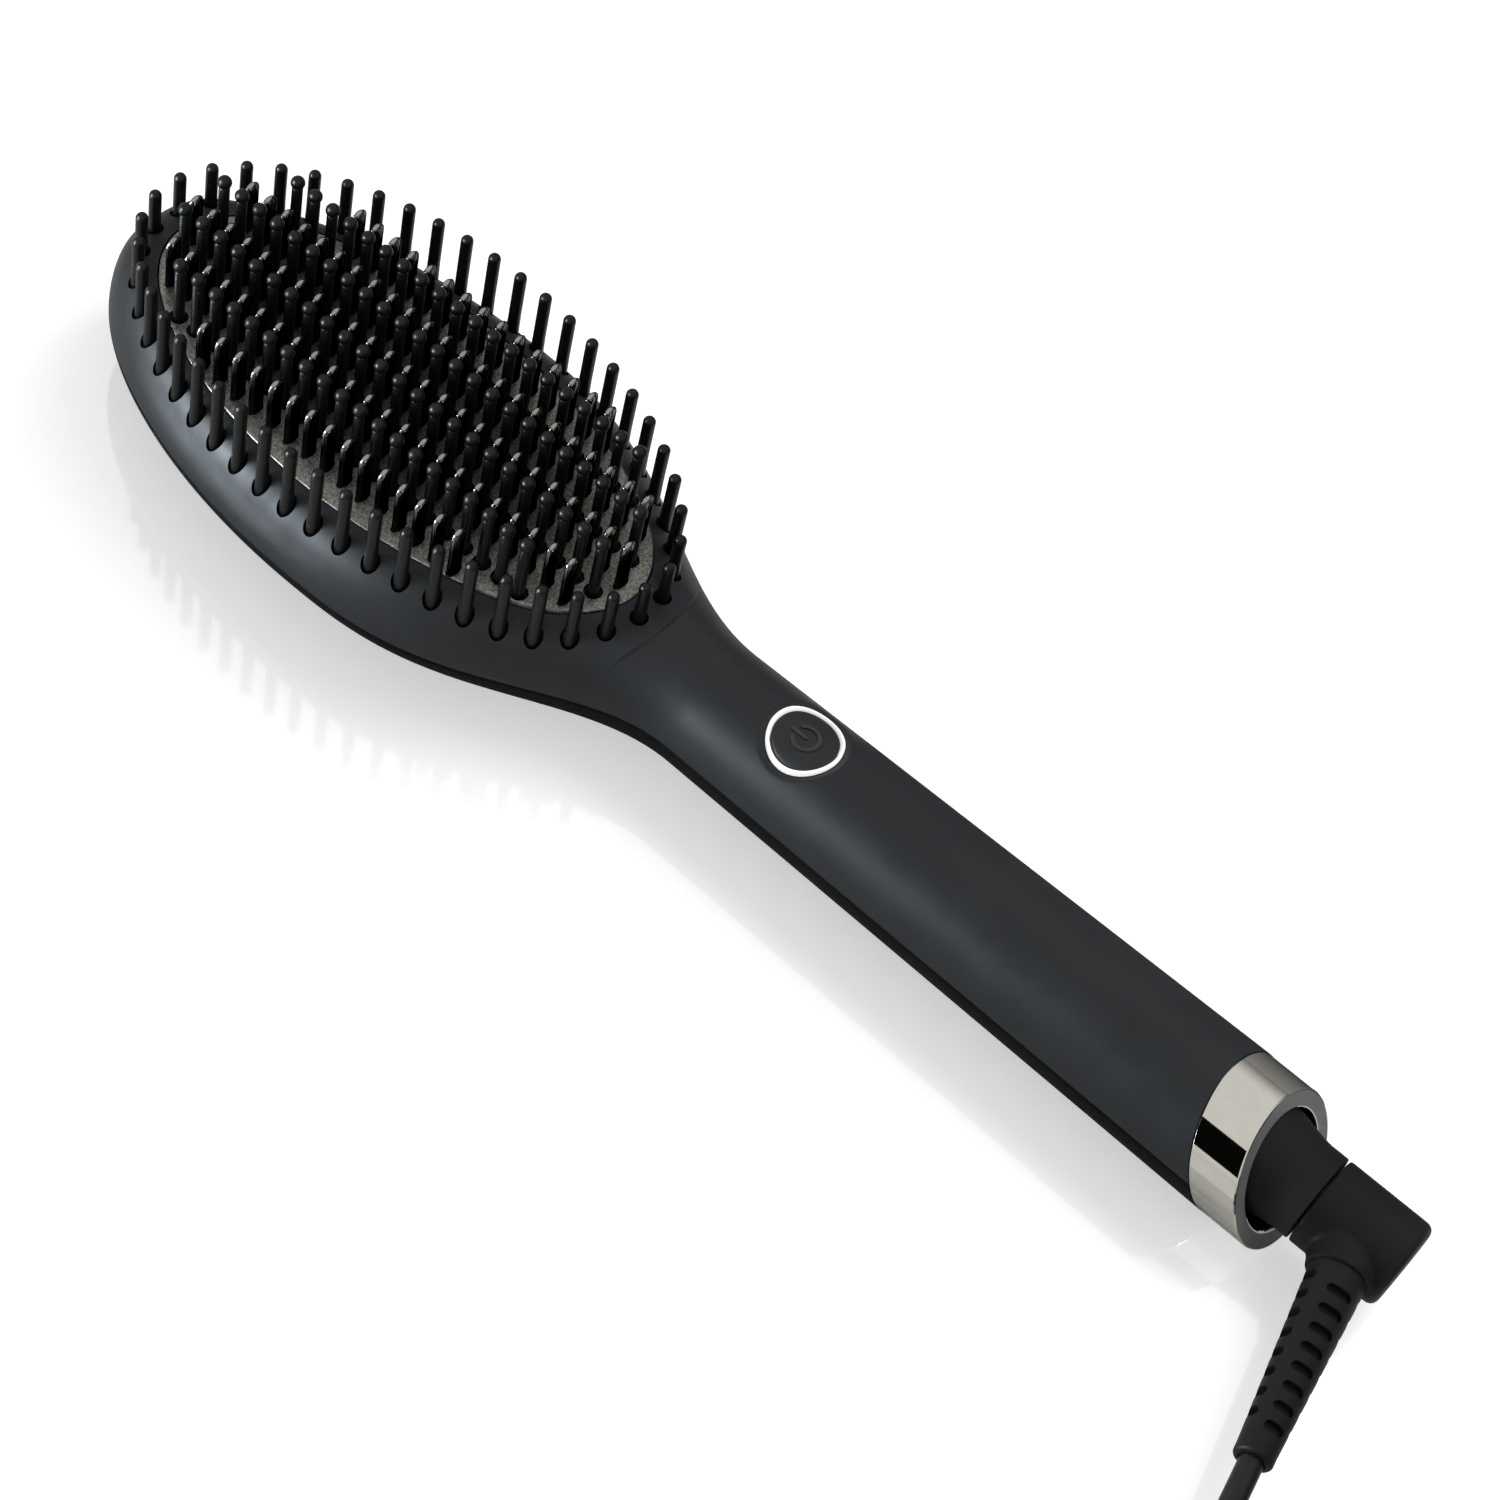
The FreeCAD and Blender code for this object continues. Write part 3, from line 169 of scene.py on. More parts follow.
SIGN_STROKE = 0.42
SIGN_GAP = radians(38)
SIGN_STEPS = 32
SIGN_BAR_START = 1.25
SIGN_BAR_LENGTH = 1.2
SIGN_BAR_STEPS = 6
SIGN_END_STEPS = 6
SIGN_FOLLOW = 0.85
SIGN_LEVELS = ((-0.9, 0.0), (-0.16, 0.0), (-0.1, 0.1))

# End ring, cap and elbow
RING_BORE = 11.1
RING_WIDTH = 10.2
RING_BEVEL = 0.3
RING_BEVEL_SHARE = 0.3
RING_SIDES = 144
RING_FACE_ROW = 5
RING_BORE_ROW = 8
CAP_START_X = 96.0
CAP_FLANGE_RADIUS = 11.5
CAP_FLANGE_X = 105.0
CAP_NECK_X = 105.4
CAP_BODY_RADIUS = 10.95
CAP_TAPER_X = 120.5
CAP_TAPER_LENGTH = 11.0
CAP_TAPER_STEPS = 12
CAP_TAPER_POWER = 0.8
CAP_CAVITY_RADIUS = 9.3
CAP_CAVITY_END_X = 118.0
SEAM_X = 135.2
SEAM_GAP = 0.4
SEAM_RADIUS = 8.75
SEAM_BEVEL = 0.12
SPINDLE_RADIUS = 4.5
SPINDLE_INSERT = 8.0
BEARING_RADIUS = 4.58
ELBOW_END_X = 154.0
ELBOW_ROUND = 1.7
ELBOW_SIDES = 72
WEB_STEPS = 8
WEB_START = 0.5
WEB_SEAM_SETBACK = 0.5
WEB_END_SETBACK = 0.6
WEB_HALF_HEIGHT = 7.4
WEB_POWER = 0.55
WEB_POWER_GAIN = 0.45
EXIT_X = 144.1
EXIT_LEAN = radians(12.8)

# Strain relief
COLLAR_LENGTH = 10.2
COLLAR_RADIUS = 6.0
RELIEF_LENGTH = 38.8
RELIEF_ROOT_RADIUS = 5.3
RELIEF_TIP_RADIUS = 3.6
RELIEF_LIP = 2.4
RELIEF_INSERT = 0.2
RELIEF_STEPS = 12
RELIEF_TIP_ROUND = 0.7
MOUTH_FLARE = 0.25
MOUTH_GAP = 0.1
MOUTH_DEPTH = 0.5
SLOT_COLUMNS = 4
SLOT_COUNT = 8
SLOT_PITCH = 4.0
SLOT_WIDTH = 2.0
SLOT_SPAN = 4.4
SLOT_DEPTH = 1.5
SLOT_REACH = 3.0
SLOT_TURN = 13.0
SLOT_SIDES = 12

# Cord: how far along its heading and how high it lies, before and after the coil
CORD_RADIUS = 2.25
LEAD_ROUTE = ((12.0, 14.45), (34.0, 3.5), (46.0, 3.5))
TAIL_ROUTE = ((13.0, 18.8), (36.0, 7.0), (49.0, 7.0))
COIL_RUN_IN = 4.5
COIL_RADIUS = 30.0
COIL_PITCH = 5.1
COIL_LAYERS = 4
COIL_HALF_TURNS = 4
COIL_STEPS = 10
TIE_CORNER = 2.2
TIE_WALL = 0.8
TIE_EDGE = 0.25
# How far along, half width, half height and corner radius of the plug's body
PLUG_LEVELS = (
    (0.0, 3.6, 3.6, 3.55), (3.0, 3.9, 3.9, 3.85), (9.0, 4.8, 4.8, 4.75), (12.0, 5.4, 5.2, 5.15),
    (13.0, 10.8, 5.4, 4.2), (14.2, 12.5, 6.6, 4.2), (16.0, 13.0, 7.0, 4.2), (22.0, 12.1, 6.7, 4.2),
    (34.0, 12.1, 6.7, 4.2), (37.6, 13.0, 7.0, 4.2), (39.2, 12.85, 6.85, 4.2), (40.0, 12.1, 6.1, 3.6),
)
PLUG_PIN_RADIUS = 2.0
PLUG_PIN_LENGTH = 19.0
PLUG_PIN_SPREAD = 19.0
PLUG_PIN_INSERT = 1.0
PLUG_PIN_ROUND = 1.2


# Meshes

def make_mesh(name, points, faces):
    mesh = bpy.data.meshes.new(name)
    mesh.from_pydata([Vector(point) * MM for point in points], [], faces)
    mesh.update()
    return mesh


def finish_mesh(mesh, angle=SHARP_ANGLE):
    mesh.shade_smooth()
    mesh.set_sharp_from_angle(angle=angle)


def fix_normals(mesh, weld=False):
    form = bmesh.new()
    form.from_mesh(mesh)
    if weld:
        bmesh.ops.remove_doubles(form, verts=form.verts, dist=WELD_DISTANCE)
    bmesh.ops.recalc_face_normals(form, faces=form.faces)
    form.to_mesh(mesh)
    form.free()


def add_object(name, mesh):
    piece = bpy.data.objects.new(name, mesh)
    bpy.context.scene.collection.objects.link(piece)
    return piece


def solid(name, points, faces, fix=False, angle=SHARP_ANGLE):
    """An object that is shaded smooth, with normals made to point outwards where they may not."""
    mesh = make_mesh(name, points, faces)
    if fix:
        fix_normals(mesh)
    finish_mesh(mesh, angle)
    return add_object(name, mesh)


def dress(piece, body, look, nodes=()):
    """Gives a piece its body, its material and the CAD nodes it stands for."""
    if not piece.data.materials:
        piece.data.materials.append(LOOKS[look].material)
    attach(piece, body)
    if nodes:
        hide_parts(*nodes)
    return piece


def circle(sides):
    """Angles round a circle."""
    return [2 * pi * side / sides for side in range(sides)]


def stack(rows):
    """The points of all rows in one list, and each row's point numbers."""
    points = []
    rings = []
    for row in rows:
        rings.append(list(range(len(points), len(points) + len(row))))
        points += row
    return points, rings


def skin_faces(rings, sides):
    """Faces between rings of point numbers; a ring of one number is a point."""
    faces = []
    for lower, upper in zip(rings, rings[1:]):
        for side in range(sides):
            after = (side + 1) % sides
            face = []
            for ring, place in ((lower, side), (lower, after), (upper, after), (upper, side)):
                number = ring[place % len(ring)]
                if number not in face:
                    face.append(number)
            if len(face) > 2:
                faces.append(face)
    return faces


def capped(rows):
    """Points and faces of a form from rows of as many points each, closed at both ends."""
    points, rings = stack(rows)
    return points, skin_faces(rings, len(rings[0])) + [rings[0][::-1], rings[-1]]


def looped(rows):
    """Points and faces of a form from rows of as many points each, whose last row joins the first."""
    points, rings = stack(rows)
    return points, skin_faces(rings + rings[:1], len(rings[0]))


def joined(forms):
    """One form from several forms of points and faces."""
    points = []
    faces = []
    for more_points, more_faces in forms:
        faces += [[len(points) + number for number in face] for face in more_faces]
        points += more_points
    return points, faces


def repeat(points, faces, places):
    """Copies of one form, each moved by a place."""
    return joined([([Vector(point) + Vector(place) for point in points], faces) for place in places])


def turned(points, matrix):
    return [matrix @ Vector(point) for point in points]


def lathe(profile, sides):
    """Points and faces of a form turned about Z from radius and height pairs."""
    rows = []
    for radius, height in profile:
        turns = circle(sides if radius else 1)
        rows.append([(radius * cos(turn), radius * sin(turn), height) for turn in turns])
    points, rings = stack(rows)
    return points, skin_faces(rings, sides)


def peg(radius, low, high, sides=PEG_SIDES):
    return lathe(((0, low), (radius, low), (radius, high), (0, high)), sides)


def arc(centre, radius, start, end, steps):
    """Radius and height pairs along an arc, angles in degrees from outwards to upwards."""
    pairs = []
    for step in range(steps + 1):
        turn = radians(start + (end - start) * step / steps)
        pairs.append((centre[0] + radius * cos(turn), centre[1] + radius * sin(turn)))
    return pairs


def smooth_share(low, high, number):
    share = min(1, max(0, (number - low) / (high - low)))
    return share * share * (3 - 2 * share)


def bake(piece):
    """Turns a piece and its modifiers into a plain mesh."""
    graph = bpy.context.evaluated_depsgraph_get()
    mesh = bpy.data.meshes.new_from_object(piece.evaluated_get(graph))
    piece.modifiers.clear()
    piece.data = mesh


def tool(points, faces):
    return add_object("tool", make_mesh("tool", points, faces))


def cut(piece, cutter):
    """Takes the cutter's form out of the piece and removes the cutter."""
    change = piece.modifiers.new("cut", "BOOLEAN")
    change.operation = "DIFFERENCE"
    change.solver = "EXACT"
    change.object = cutter
    bake(piece)
    bpy.data.objects.remove(cutter)


# Materials

def add_node(tree, kind, output, inputs, **settings):
    """An output of a new node; each input is a value, or another node's output to link from."""
    node = tree.nodes.new("ShaderNode" + kind)
    for name, value in settings.items():
        setattr(node, name, value)
    for name, value in inputs.items():
        if isinstance(value, bpy.types.NodeSocket):
            tree.links.new(value, node.inputs[name])
        else:
            node.inputs[name].default_value = value
    return node.outputs[output]


class Recipe:
    """A principled material with helpers for its varying parts; grains and depths are in millimetres."""

    def __init__(self, name, colour, roughness, metallic=0.0, specular=0.5):
        self.material = bpy.data.materials.new(name)
        self.material.use_nodes = True
        self.tree = self.material.node_tree
        self.shader = self.tree.nodes["Principled BSDF"]
        self.colour = (*colour, 1)
        self.put(Base_Color=self.colour, Roughness=roughness, Metallic=metallic, Specular_IOR_Level=specular)
        self.place = self.node("TexCoord", "Object", {})

    def put(self, **values):
        for name, value in values.items():
            self.shader.inputs[name.replace("_", " ")].default_value = value
        return self

    def node(self, kind, output, inputs, **settings):
        return add_node(self.tree, kind, output, inputs, **settings)

    def feed(self, source, name):
        self.tree.links.new(source, self.shader.inputs[name])
        return self

    def noise(self, size, detail=3.0, stretch=(1, 1, 1)):
        """Noise with a grain of about a size."""
        place = self.node("Mapping", "Vector", {"Vector": self.place, "Scale": stretch})
        return self.node("TexNoise", "Fac", {"Vector": place, "Scale": 1 / (size * MM), "Detail": detail})

    def height(self):
        return self.node("SeparateXYZ", "Z", {"Vector": self.place})

    def reach(self, centre, half_sizes):
        """Distance from a centre, where a form of these half sizes ends at 1."""
        form = {"Vector": self.place, "Location": Vector(centre) * MM, "Scale": Vector(half_sizes) * MM}
        place = self.node("Mapping", "Vector", form, vector_type="TEXTURE")
        return self.node("VectorMath", "Value", {0: place}, operation="LENGTH")

    def spread(self, source, low, high, start=0.3, end=0.7):
        limits = {"From Min": start, "From Max": end, "To Min": low, "To Max": high}
        return self.node("MapRange", "Result", {"Value": source, **limits})

    def tint(self, source, other, start=0.35, end=0.65):
        """Base colour between the recipe's own and another one."""
        share = self.spread(source, 0, 1, start, end)
        colours = {"Factor": share, "A": self.colour, "B": (*other, 1)}
        return self.feed(self.node("Mix", "Result", colours, data_type="RGBA"), "Base Color")

    def shade(self, source, share, start, end):
        """Paints shade: darkens the base colour by a share up to the start, and less up to the end."""
        colour = self.shader.inputs["Base Color"].links[0].from_socket
        dim = {0: colour, "Scale": self.spread(source, 1 - share, 1, start, end)}
        return self.feed(self.node("VectorMath", "Vector", dim, operation="SCALE"), "Base Color")

    def rough(self, source, low, high):
        return self.feed(self.spread(source, low, high), "Roughness")

    def bump(self, source, depth):
        relief = {"Height": source, "Distance": depth * MM, "Strength": 1.0}
        return self.feed(self.node("Bump", "Normal", relief), "Normal")


def moulded(name, colour, other, roughness, grain, depth, specular):
    """Moulded plastic or rubber: uneven tone, fine grain and patches of gloss."""
    recipe = Recipe(name, colour, roughness, specular=specular)
    recipe.tint(recipe.noise(size=18.0), other)
    recipe.rough(recipe.noise(size=7.0), low=roughness - 0.05, high=roughness + 0.06)
    return recipe.bump(recipe.noise(grain, detail=2.0), depth)


def metal(name, colour, other, roughness, grain, depth, stretch):
    """Metal with a fine grain, which may be stretched, and patches of gloss."""
    recipe = Recipe(name, colour, roughness, metallic=1.0)
    recipe.tint(recipe.noise(grain, detail=4.0, stretch=stretch), other)
    recipe.rough(recipe.noise(size=6.0), low=roughness * 0.85, high=roughness * 1.2)
    return recipe.bump(recipe.noise(grain, detail=3.0, stretch=stretch), depth)


def blade_metal():
    """Dark polished metal, brighter towards a blade's crest: a painted highlight at the crest and painted
    shade at the foot.
    """
    recipe = Recipe("fin_polished", (0.03, 0.03, 0.029), roughness=0.12, metallic=1.0)
    crest = FACE_Z + FIN_HEIGHT
    # Painted highlight and shade: dark at the foot, bright at the crest, by height.
    recipe.tint(recipe.height(), (0.32, 0.32, 0.30), start=(crest - 4.5) * MM, end=(crest - 0.5) * MM)
    recipe.put(Specular_Tint=(0.12, 0.12, 0.12, 1))
    recipe.rough(recipe.noise(size=3.0), low=0.10, high=0.17)
    return recipe.bump(recipe.noise(size=1.5), depth=0.004)


def paint_field_shade(recipe):
    """Leaves the plate bright along its rim and makes it darker among the bristles: painted shade where the
    bristles shadow it.
    """
    reach = recipe.reach((FIELD_X, 0, FACE_Z), (PLATE_LENGTH / 2, PLATE_WIDTH / 2, 1 / MM))
    recipe.shade(reach, share=0.6, start=0.58, end=0.80)


def light_diffuser():
    recipe = Recipe("light_ring_diffuser", (0.86, 0.87, 0.88), roughness=0.35)
    recipe.tint(recipe.noise(size=2.5), (0.80, 0.81, 0.83))
    recipe.rough(recipe.noise(size=1.5), low=0.3, high=0.42)
    return recipe.put(Emission_Color=(1, 1, 1, 1), Emission_Strength=0.6)


# Colour, colour in patches, roughness, grain, depth of the grain, and specular
MOULDED_LOOKS = {
    "soft_touch": ((0.0150, 0.0172, 0.0200), (0.0180, 0.0202, 0.0230), 0.46, 0.16, 0.006, 0.25),
    # A darker copy of the shell plastic: painted shade on the back half and in the end ring's bore.
    "back_plastic_painted_shade": ((0.0045, 0.0047, 0.0052), (0.006, 0.0062, 0.0067), 0.5, 0.16, 0.006, 0.04),
    "bristle_nylon": ((0.0045, 0.0049, 0.0056), (0.0065, 0.007, 0.0078), 0.34, 0.3, 0.004, 0.24),
    "button_cap": ((0.015, 0.016, 0.017), (0.018, 0.019, 0.020), 0.5, 0.14, 0.006, 0.3),
    "button_sign": ((0.018, 0.019, 0.020), (0.021, 0.022, 0.023), 0.3, 0.3, 0.003, 0.5),
    "swivel_rubber": ((0.0088, 0.0095, 0.0104), (0.0112, 0.0119, 0.0128), 0.52, 0.2, 0.008, 0.17),
    "cable_sheath": ((0.008, 0.0082, 0.0088), (0.0105, 0.0107, 0.0113), 0.42, 0.25, 0.006, 0.3),
    "tie_strap": ((0.017, 0.017, 0.018), (0.028, 0.028, 0.029), 0.75, 0.5, 0.05, 0.25),
    "ring_face": ((0.20, 0.20, 0.204), (0.225, 0.225, 0.229), 0.5, 0.2, 0.004, 0.5),
    "inner_plastic": ((0.03, 0.03, 0.032), (0.04, 0.04, 0.043), 0.5, 0.3, 0.01, 0.5),
    "bristle_pad_silicone": ((0.035, 0.033, 0.032), (0.045, 0.043, 0.042), 0.6, 0.4, 0.02, 0.5),
    "ceramic": ((0.75, 0.74, 0.70), (0.82, 0.81, 0.78), 0.4, 0.2, 0.01, 0.5),
    "mica": ((0.52, 0.45, 0.33), (0.62, 0.55, 0.42), 0.3, 1.0, 0.02, 0.5),
    "circuit_board": ((0.02, 0.12, 0.05), (0.03, 0.16, 0.07), 0.35, 0.5, 0.01, 0.5),
    "lead_sleeve": ((0.55, 0.08, 0.05), (0.62, 0.12, 0.08), 0.45, 0.3, 0.01, 0.5),
    "film_box": ((0.55, 0.42, 0.08), (0.62, 0.5, 0.12), 0.35, 0.4, 0.01, 0.5),
}
# Colour, colour in patches, roughness, grain, depth of the grain, and how the grain is stretched
METAL_LOOKS = {
    "plate_satin": ((0.12, 0.118, 0.107), (0.36, 0.354, 0.32), 0.42, 0.42, 0.02, (1, 1, 1)),
    "ring_nickel": ((0.62, 0.60, 0.54), (0.65, 0.63, 0.57), 0.05, 3.0, 0.001, (1, 1, 1)),
    "plug_pin_metal": ((0.66, 0.62, 0.52), (0.72, 0.68, 0.58), 0.2, 0.5, 0.002, (1, 0.1, 1)),
    "inner_steel": ((0.55, 0.55, 0.56), (0.63, 0.63, 0.64), 0.3, 0.5, 0.004, (0.1, 1, 1)),
    "brass": ((0.70, 0.50, 0.20), (0.76, 0.56, 0.25), 0.25, 0.5, 0.003, (1, 0.1, 0.1)),
    "carbon_brush": ((0.05, 0.05, 0.05), (0.08, 0.08, 0.08), 0.55, 0.3, 0.02, (1, 1, 1)),
}
LOOKS = {name: moulded(name, *values) for name, values in MOULDED_LOOKS.items()}
LOOKS.update({name: metal(name, *values) for name, values in METAL_LOOKS.items()})
LOOKS["fin_polished"] = blade_metal()
LOOKS["light_ring_diffuser"] = light_diffuser()
LOOKS["ring_face"].put(Metallic=0.35)
# Painted shade on the plate among the bristles.
paint_field_shade(LOOKS["plate_satin"])


# Shell form as in the CAD, but smooth

def section(x, inset):
    """Half width, rise above and depth below the parting line, and width of the rounded edge."""
    half_length = HEAD_LENGTH / 2 - inset
    half_width = HEAD_WIDTH / 2 - inset
    rise = FACE_Z - AXIS_Z - inset
    depth = AXIS_Z + REST_SINK - inset
    edge = EDGE_ROUND - inset
    neck = NECK_RADIUS - inset
    if x < HEAD_MIDDLE_X:
        back = min(1, (HEAD_MIDDLE_X - x) / half_length)
        fullness = sqrt(1 - back * back)
        climb = min(1, (1 - back) * half_length / edge)
        width = half_width * fullness
        narrow = TIP_ROUND_SHARE * width
        round_width = (narrow ** -EDGE_BLEND + edge ** -EDGE_BLEND) ** (-1 / EDGE_BLEND) if width else 0
        return width, rise * sqrt(1 - (1 - climb) ** 2), depth * fullness, round_width
    if x < NECK_X:
        way = (x - HEAD_MIDDLE_X) / (NECK_X - HEAD_MIDDLE_X)
        spread = (1 + cos(pi * way ** NECK_EASE)) / 2
        width = neck + spread * (half_width - neck)
        round_width = (1 - spread) * (width - CROWN_FLAT) + spread * edge
        return width, rise, neck + spread * (depth - neck), round_width
    way = (x - NECK_X) / (RING_X - NECK_X)
    radius = neck + way * (RING_RADIUS - inset - neck)
    return radius, radius, radius, radius - CROWN_FLAT


def crown_rise(x, y, rise, inset):
    """The face falls to the handle from a curved crease; beside the crease the fall is eased."""
    if x < CREASE_X - 2 * CREASE_HALF_WIDTH or x > NECK_X:
        return rise
    neck = NECK_RADIUS - inset
    beside = smooth_share(*CREASE_FADE, abs(y) / CREASE_HALF_WIDTH)
    crease = CREASE_X - CREASE_BOW * min(abs(y), CREASE_HALF_WIDTH) ** 2
    way = max(0, (x - crease) / (NECK_X - crease))
    eased = smooth_share(crease - CREASE_EASE, NECK_X + CREASE_EASE, x)
    fall = (1 - beside) * way + beside * eased
    start, end = CREASE_STEP_ZONE
    step = (1 - beside) * CREASE_STEP * smooth_share(crease + start, crease + end, x) * (1 - way)
    return rise + (neck - rise) * min(1, fall) - step


def moat(x, y):
    reach = hypot(x - BUTTON_X, y)
    return MOAT_DEPTH * (1 - smooth_share(RING_LIGHT_RADIUS, MOAT_OUTER, reach))


def crown_point(x, share, inset):
    """A point on the front half; share runs from -1 at the near parting line to 1 at the far one."""
    width, rise, _, round_width = section(x, inset)
    flat = width - round_width
    side = copysign(1, share)
    way = abs(share)
    if way < FLAT_SHARE:
        y = side * flat * way / FLAT_SHARE
        height = 1
    else:
        turn = pi / 2 * (1 - way) / (1 - FLAT_SHARE)
        y = side * (flat + round_width * cos(turn))
        height = sin(turn)
    z = AXIS_Z + crown_rise(x, y, rise, inset) * height
    if not inset and z > AXIS_Z + NECK_RADIUS / 2:
        z -= moat(x, y)
    return Vector((x, y, z))


def back_point(x, share, inset):
    """A point on the back half, which is flat where it lies on the table."""
    width, _, depth, _ = section(x, inset)
    turn = pi / 2 * (1 - abs(share))
    y = copysign(width * cos(turn), share)
    return Vector((x, y, max(0, AXIS_Z - depth * sin(turn))))


def spaced(start, end, steps):
    return [start + (end - start) * step / steps for step in range(steps)]


def lengthwise():
    """Places along the brush, closer together where the form has detail."""
    crease_start, crease_end = [CREASE_X + reach for reach in CREASE_ZONE]
    places = []
    for step in range(1, TIP_STEPS):
        places.append(HEAD_MIDDLE_X - HEAD_LENGTH / 2 * cos(pi / 2 * step / TIP_STEPS))
    places += spaced(HEAD_MIDDLE_X, crease_start, HEAD_STEPS)
    places += spaced(crease_start, crease_end, CREASE_STEPS)
    places += spaced(crease_end, BUTTON_X - BUTTON_ZONE, NECK_STEPS)
    places += spaced(BUTTON_X - BUTTON_ZONE, BUTTON_X + BUTTON_ZONE, BUTTON_STEPS)
    places += spaced(BUTTON_X + BUTTON_ZONE, RING_X, HANDLE_STEPS)
    return places + [RING_X]


def slanted(x, share, inset, point_at):
    """A point whose place leans with the end ring's plane towards the handle's end."""
    lean = smooth_share(BUTTON_X + SLANT_START, RING_X, x)
    point = point_at(x, share, inset)
    for _ in range(SLANT_ROUNDS):
        point = point_at(x - lean * RING_SLANT * (point.z - AXIS_Z), share, inset)
    return point


def groove(row, shares, sense):
    """Draws in the points on the parting line and moves their close neighbours off it."""
    for point, share in zip(row, shares):
        if abs(share) == 1:
            point.y -= copysign(PARTING_GROOVE, share) * min(1, abs(point.y) / PARTING_FADE)
        elif abs(point.z - AXIS_Z) < PARTING_GROOVE and point.x > TIP_X + PARTING_TIP:
            point.z = AXIS_Z + sense * PARTING_GROOVE


def half_shell(point_at, sense):
    """A shell half with its wall: outer and inner skins joined along the parting line and the slanted end."""
    shares = [-1 + step / CROSS_STEPS for step in range(2 * CROSS_STEPS + 1)]
    rows = []
    for inset in (0, WALL):
        rows.append([(TIP_X + inset, 0, AXIS_Z)])
        for x in lengthwise():
            shrink = (x - TIP_X) * (RING_X - TIP_X - inset) / (RING_X - TIP_X)
            place = TIP_X + inset + shrink if inset else x
            row = [slanted(place, share, inset, point_at) for share in shares]
            if not inset:
                groove(row, shares, sense)
            rows.append(row)
    points, rings = stack(rows)
    half = len(rings) // 2
    return points, shell_faces(rings[:half], rings[half:], len(shares), sense)


def shell_faces(outer, inner, columns, sense):
    faces = []
    for rows, turn in ((outer, sense), (inner, -sense)):
        for before, after in zip(rows, rows[1:]):
            for column in range(columns - 1):
                face = [after[column], after[column + 1]]
                face += before if len(before) == 1 else [before[column + 1], before[column]]
                faces.append(face if turn > 0 else face[::-1])
    for column in (0, columns - 1):
        for row in range(len(outer) - 1):
            near = outer[row][column % len(outer[row])]
            deep = inner[row][column % len(inner[row])]
            face = [near, outer[row + 1][column], inner[row + 1][column], deep]
            faces.append(face if (column == 0) == (sense > 0) else face[::-1])
    for column in range(columns - 1):
        face = [outer[-1][column], inner[-1][column], inner[-1][column + 1], outer[-1][column + 1]]
        faces.append(face if sense > 0 else face[::-1])
    return faces


# Places of pins, fins and bristles

def ring_places():
    """Places of the outer pins, evenly along an oval."""
    outline = []
    for index in range(PIN_RING_STEPS + 1):
        turn = pi + 2 * pi * index / PIN_RING_STEPS
        outline.append((FIELD_X + PIN_RING_LENGTH / 2 * cos(turn), PIN_RING_WIDTH / 2 * sin(turn)))
    travelled = [0.0]
    for before, after in zip(outline, outline[1:]):
        travelled.append(travelled[-1] + dist(before, after))
    places = []
    for index in range(PIN_COUNT):
        wanted = travelled[-1] * (index + 0.5) / PIN_COUNT
        nearest = min(range(PIN_RING_STEPS), key=lambda step: abs(travelled[step] - wanted))
        places.append((*outline[nearest], 0))
    return places


def row_places(half_rows, offset):
    """Places on the plate, in rows along the brush."""
    places = []
    for row, half_count in half_rows.items():
        first = -half_count + offset
        for index in range(int(2 * half_count + 1 - 2 * offset)):
            places.append((FIELD_X + (first + index) * LATTICE_PITCH, row * ROW_PITCH, FACE_Z))
    return places


PIN_PLACES = ring_places()
FIN_PLACES = row_places(FIN_HALF_ROWS, 0)
BALL_PLACES = row_places(BALL_HALF_ROWS, 0.5)


def oval_form(levels):
    """A closed oval form from rows of length, width and height."""
    rows = []
    for length, width, height in levels:
        rows.append([(FIELD_X + length / 2 * cos(turn), width / 2 * sin(turn), height)
                     for turn in circle(PLATE_SIDES)])
    return capped(rows)


def peg_tool(form, places):
    return tool(*repeat(*form, [(x, y, 0) for x, y, _ in places]))


def make_front():
    piece = add_object("shell_front", make_mesh("shell_front", *half_shell(crown_point, 1)))
    length = PLATE_LENGTH + 2 * PLATE_GAP
    width = PLATE_WIDTH + 2 * PLATE_GAP
    top = FACE_Z + CUT_REACH
    cut(piece, tool(*oval_form([(length, width, FACE_Z - CUT_REACH), (length, width, top)])))
    cut(piece, peg_tool(peg(PIN_HOLE_RADIUS, PIN_ROOT_Z, top), PIN_PLACES))
    cut(piece, peg_tool(peg(RING_LIGHT_RADIUS, AXIS_Z + BUTTON_WELL, top, BUTTON_SIDES), [(BUTTON_X, 0, 0)]))
    finish_mesh(piece.data)
    return dress(piece, "brush", "soft_touch", ["front_shell"])


def make_back():
    piece = solid("shell_back", *half_shell(back_point, -1))
    # The back half is darker than the front: painted shade under the brush.
    return dress(piece, "brush", "back_plastic_painted_shade", ["back_shell"])


def make_plate():
    bottom = FACE_Z - PLATE_THICKNESS
    levels = [(PLATE_LENGTH, PLATE_WIDTH, bottom), (PLATE_LENGTH, PLATE_WIDTH, FACE_Z - PLATE_BEVEL)]
    for step in range(1, PLATE_BEVEL_STEPS + 1):
        turn = pi / 2 * step / PLATE_BEVEL_STEPS
        draw = 2 * PLATE_BEVEL * (1 - cos(turn))
        height = FACE_Z - PLATE_BEVEL * (1 - sin(turn))
        levels.append((PLATE_LENGTH - draw, PLATE_WIDTH - draw, height))
    piece = add_object("plate", make_mesh("plate", *oval_form(levels)))
    hole = peg(FOOT_RADIUS + FOOT_GAP, bottom - PLATE_CUT_REACH, FACE_Z + PLATE_CUT_REACH)
    cut(piece, peg_tool(hole, BALL_PLACES))
    finish_mesh(piece.data)
    return dress(piece, "brush", "plate_satin", ["heater_plate"])


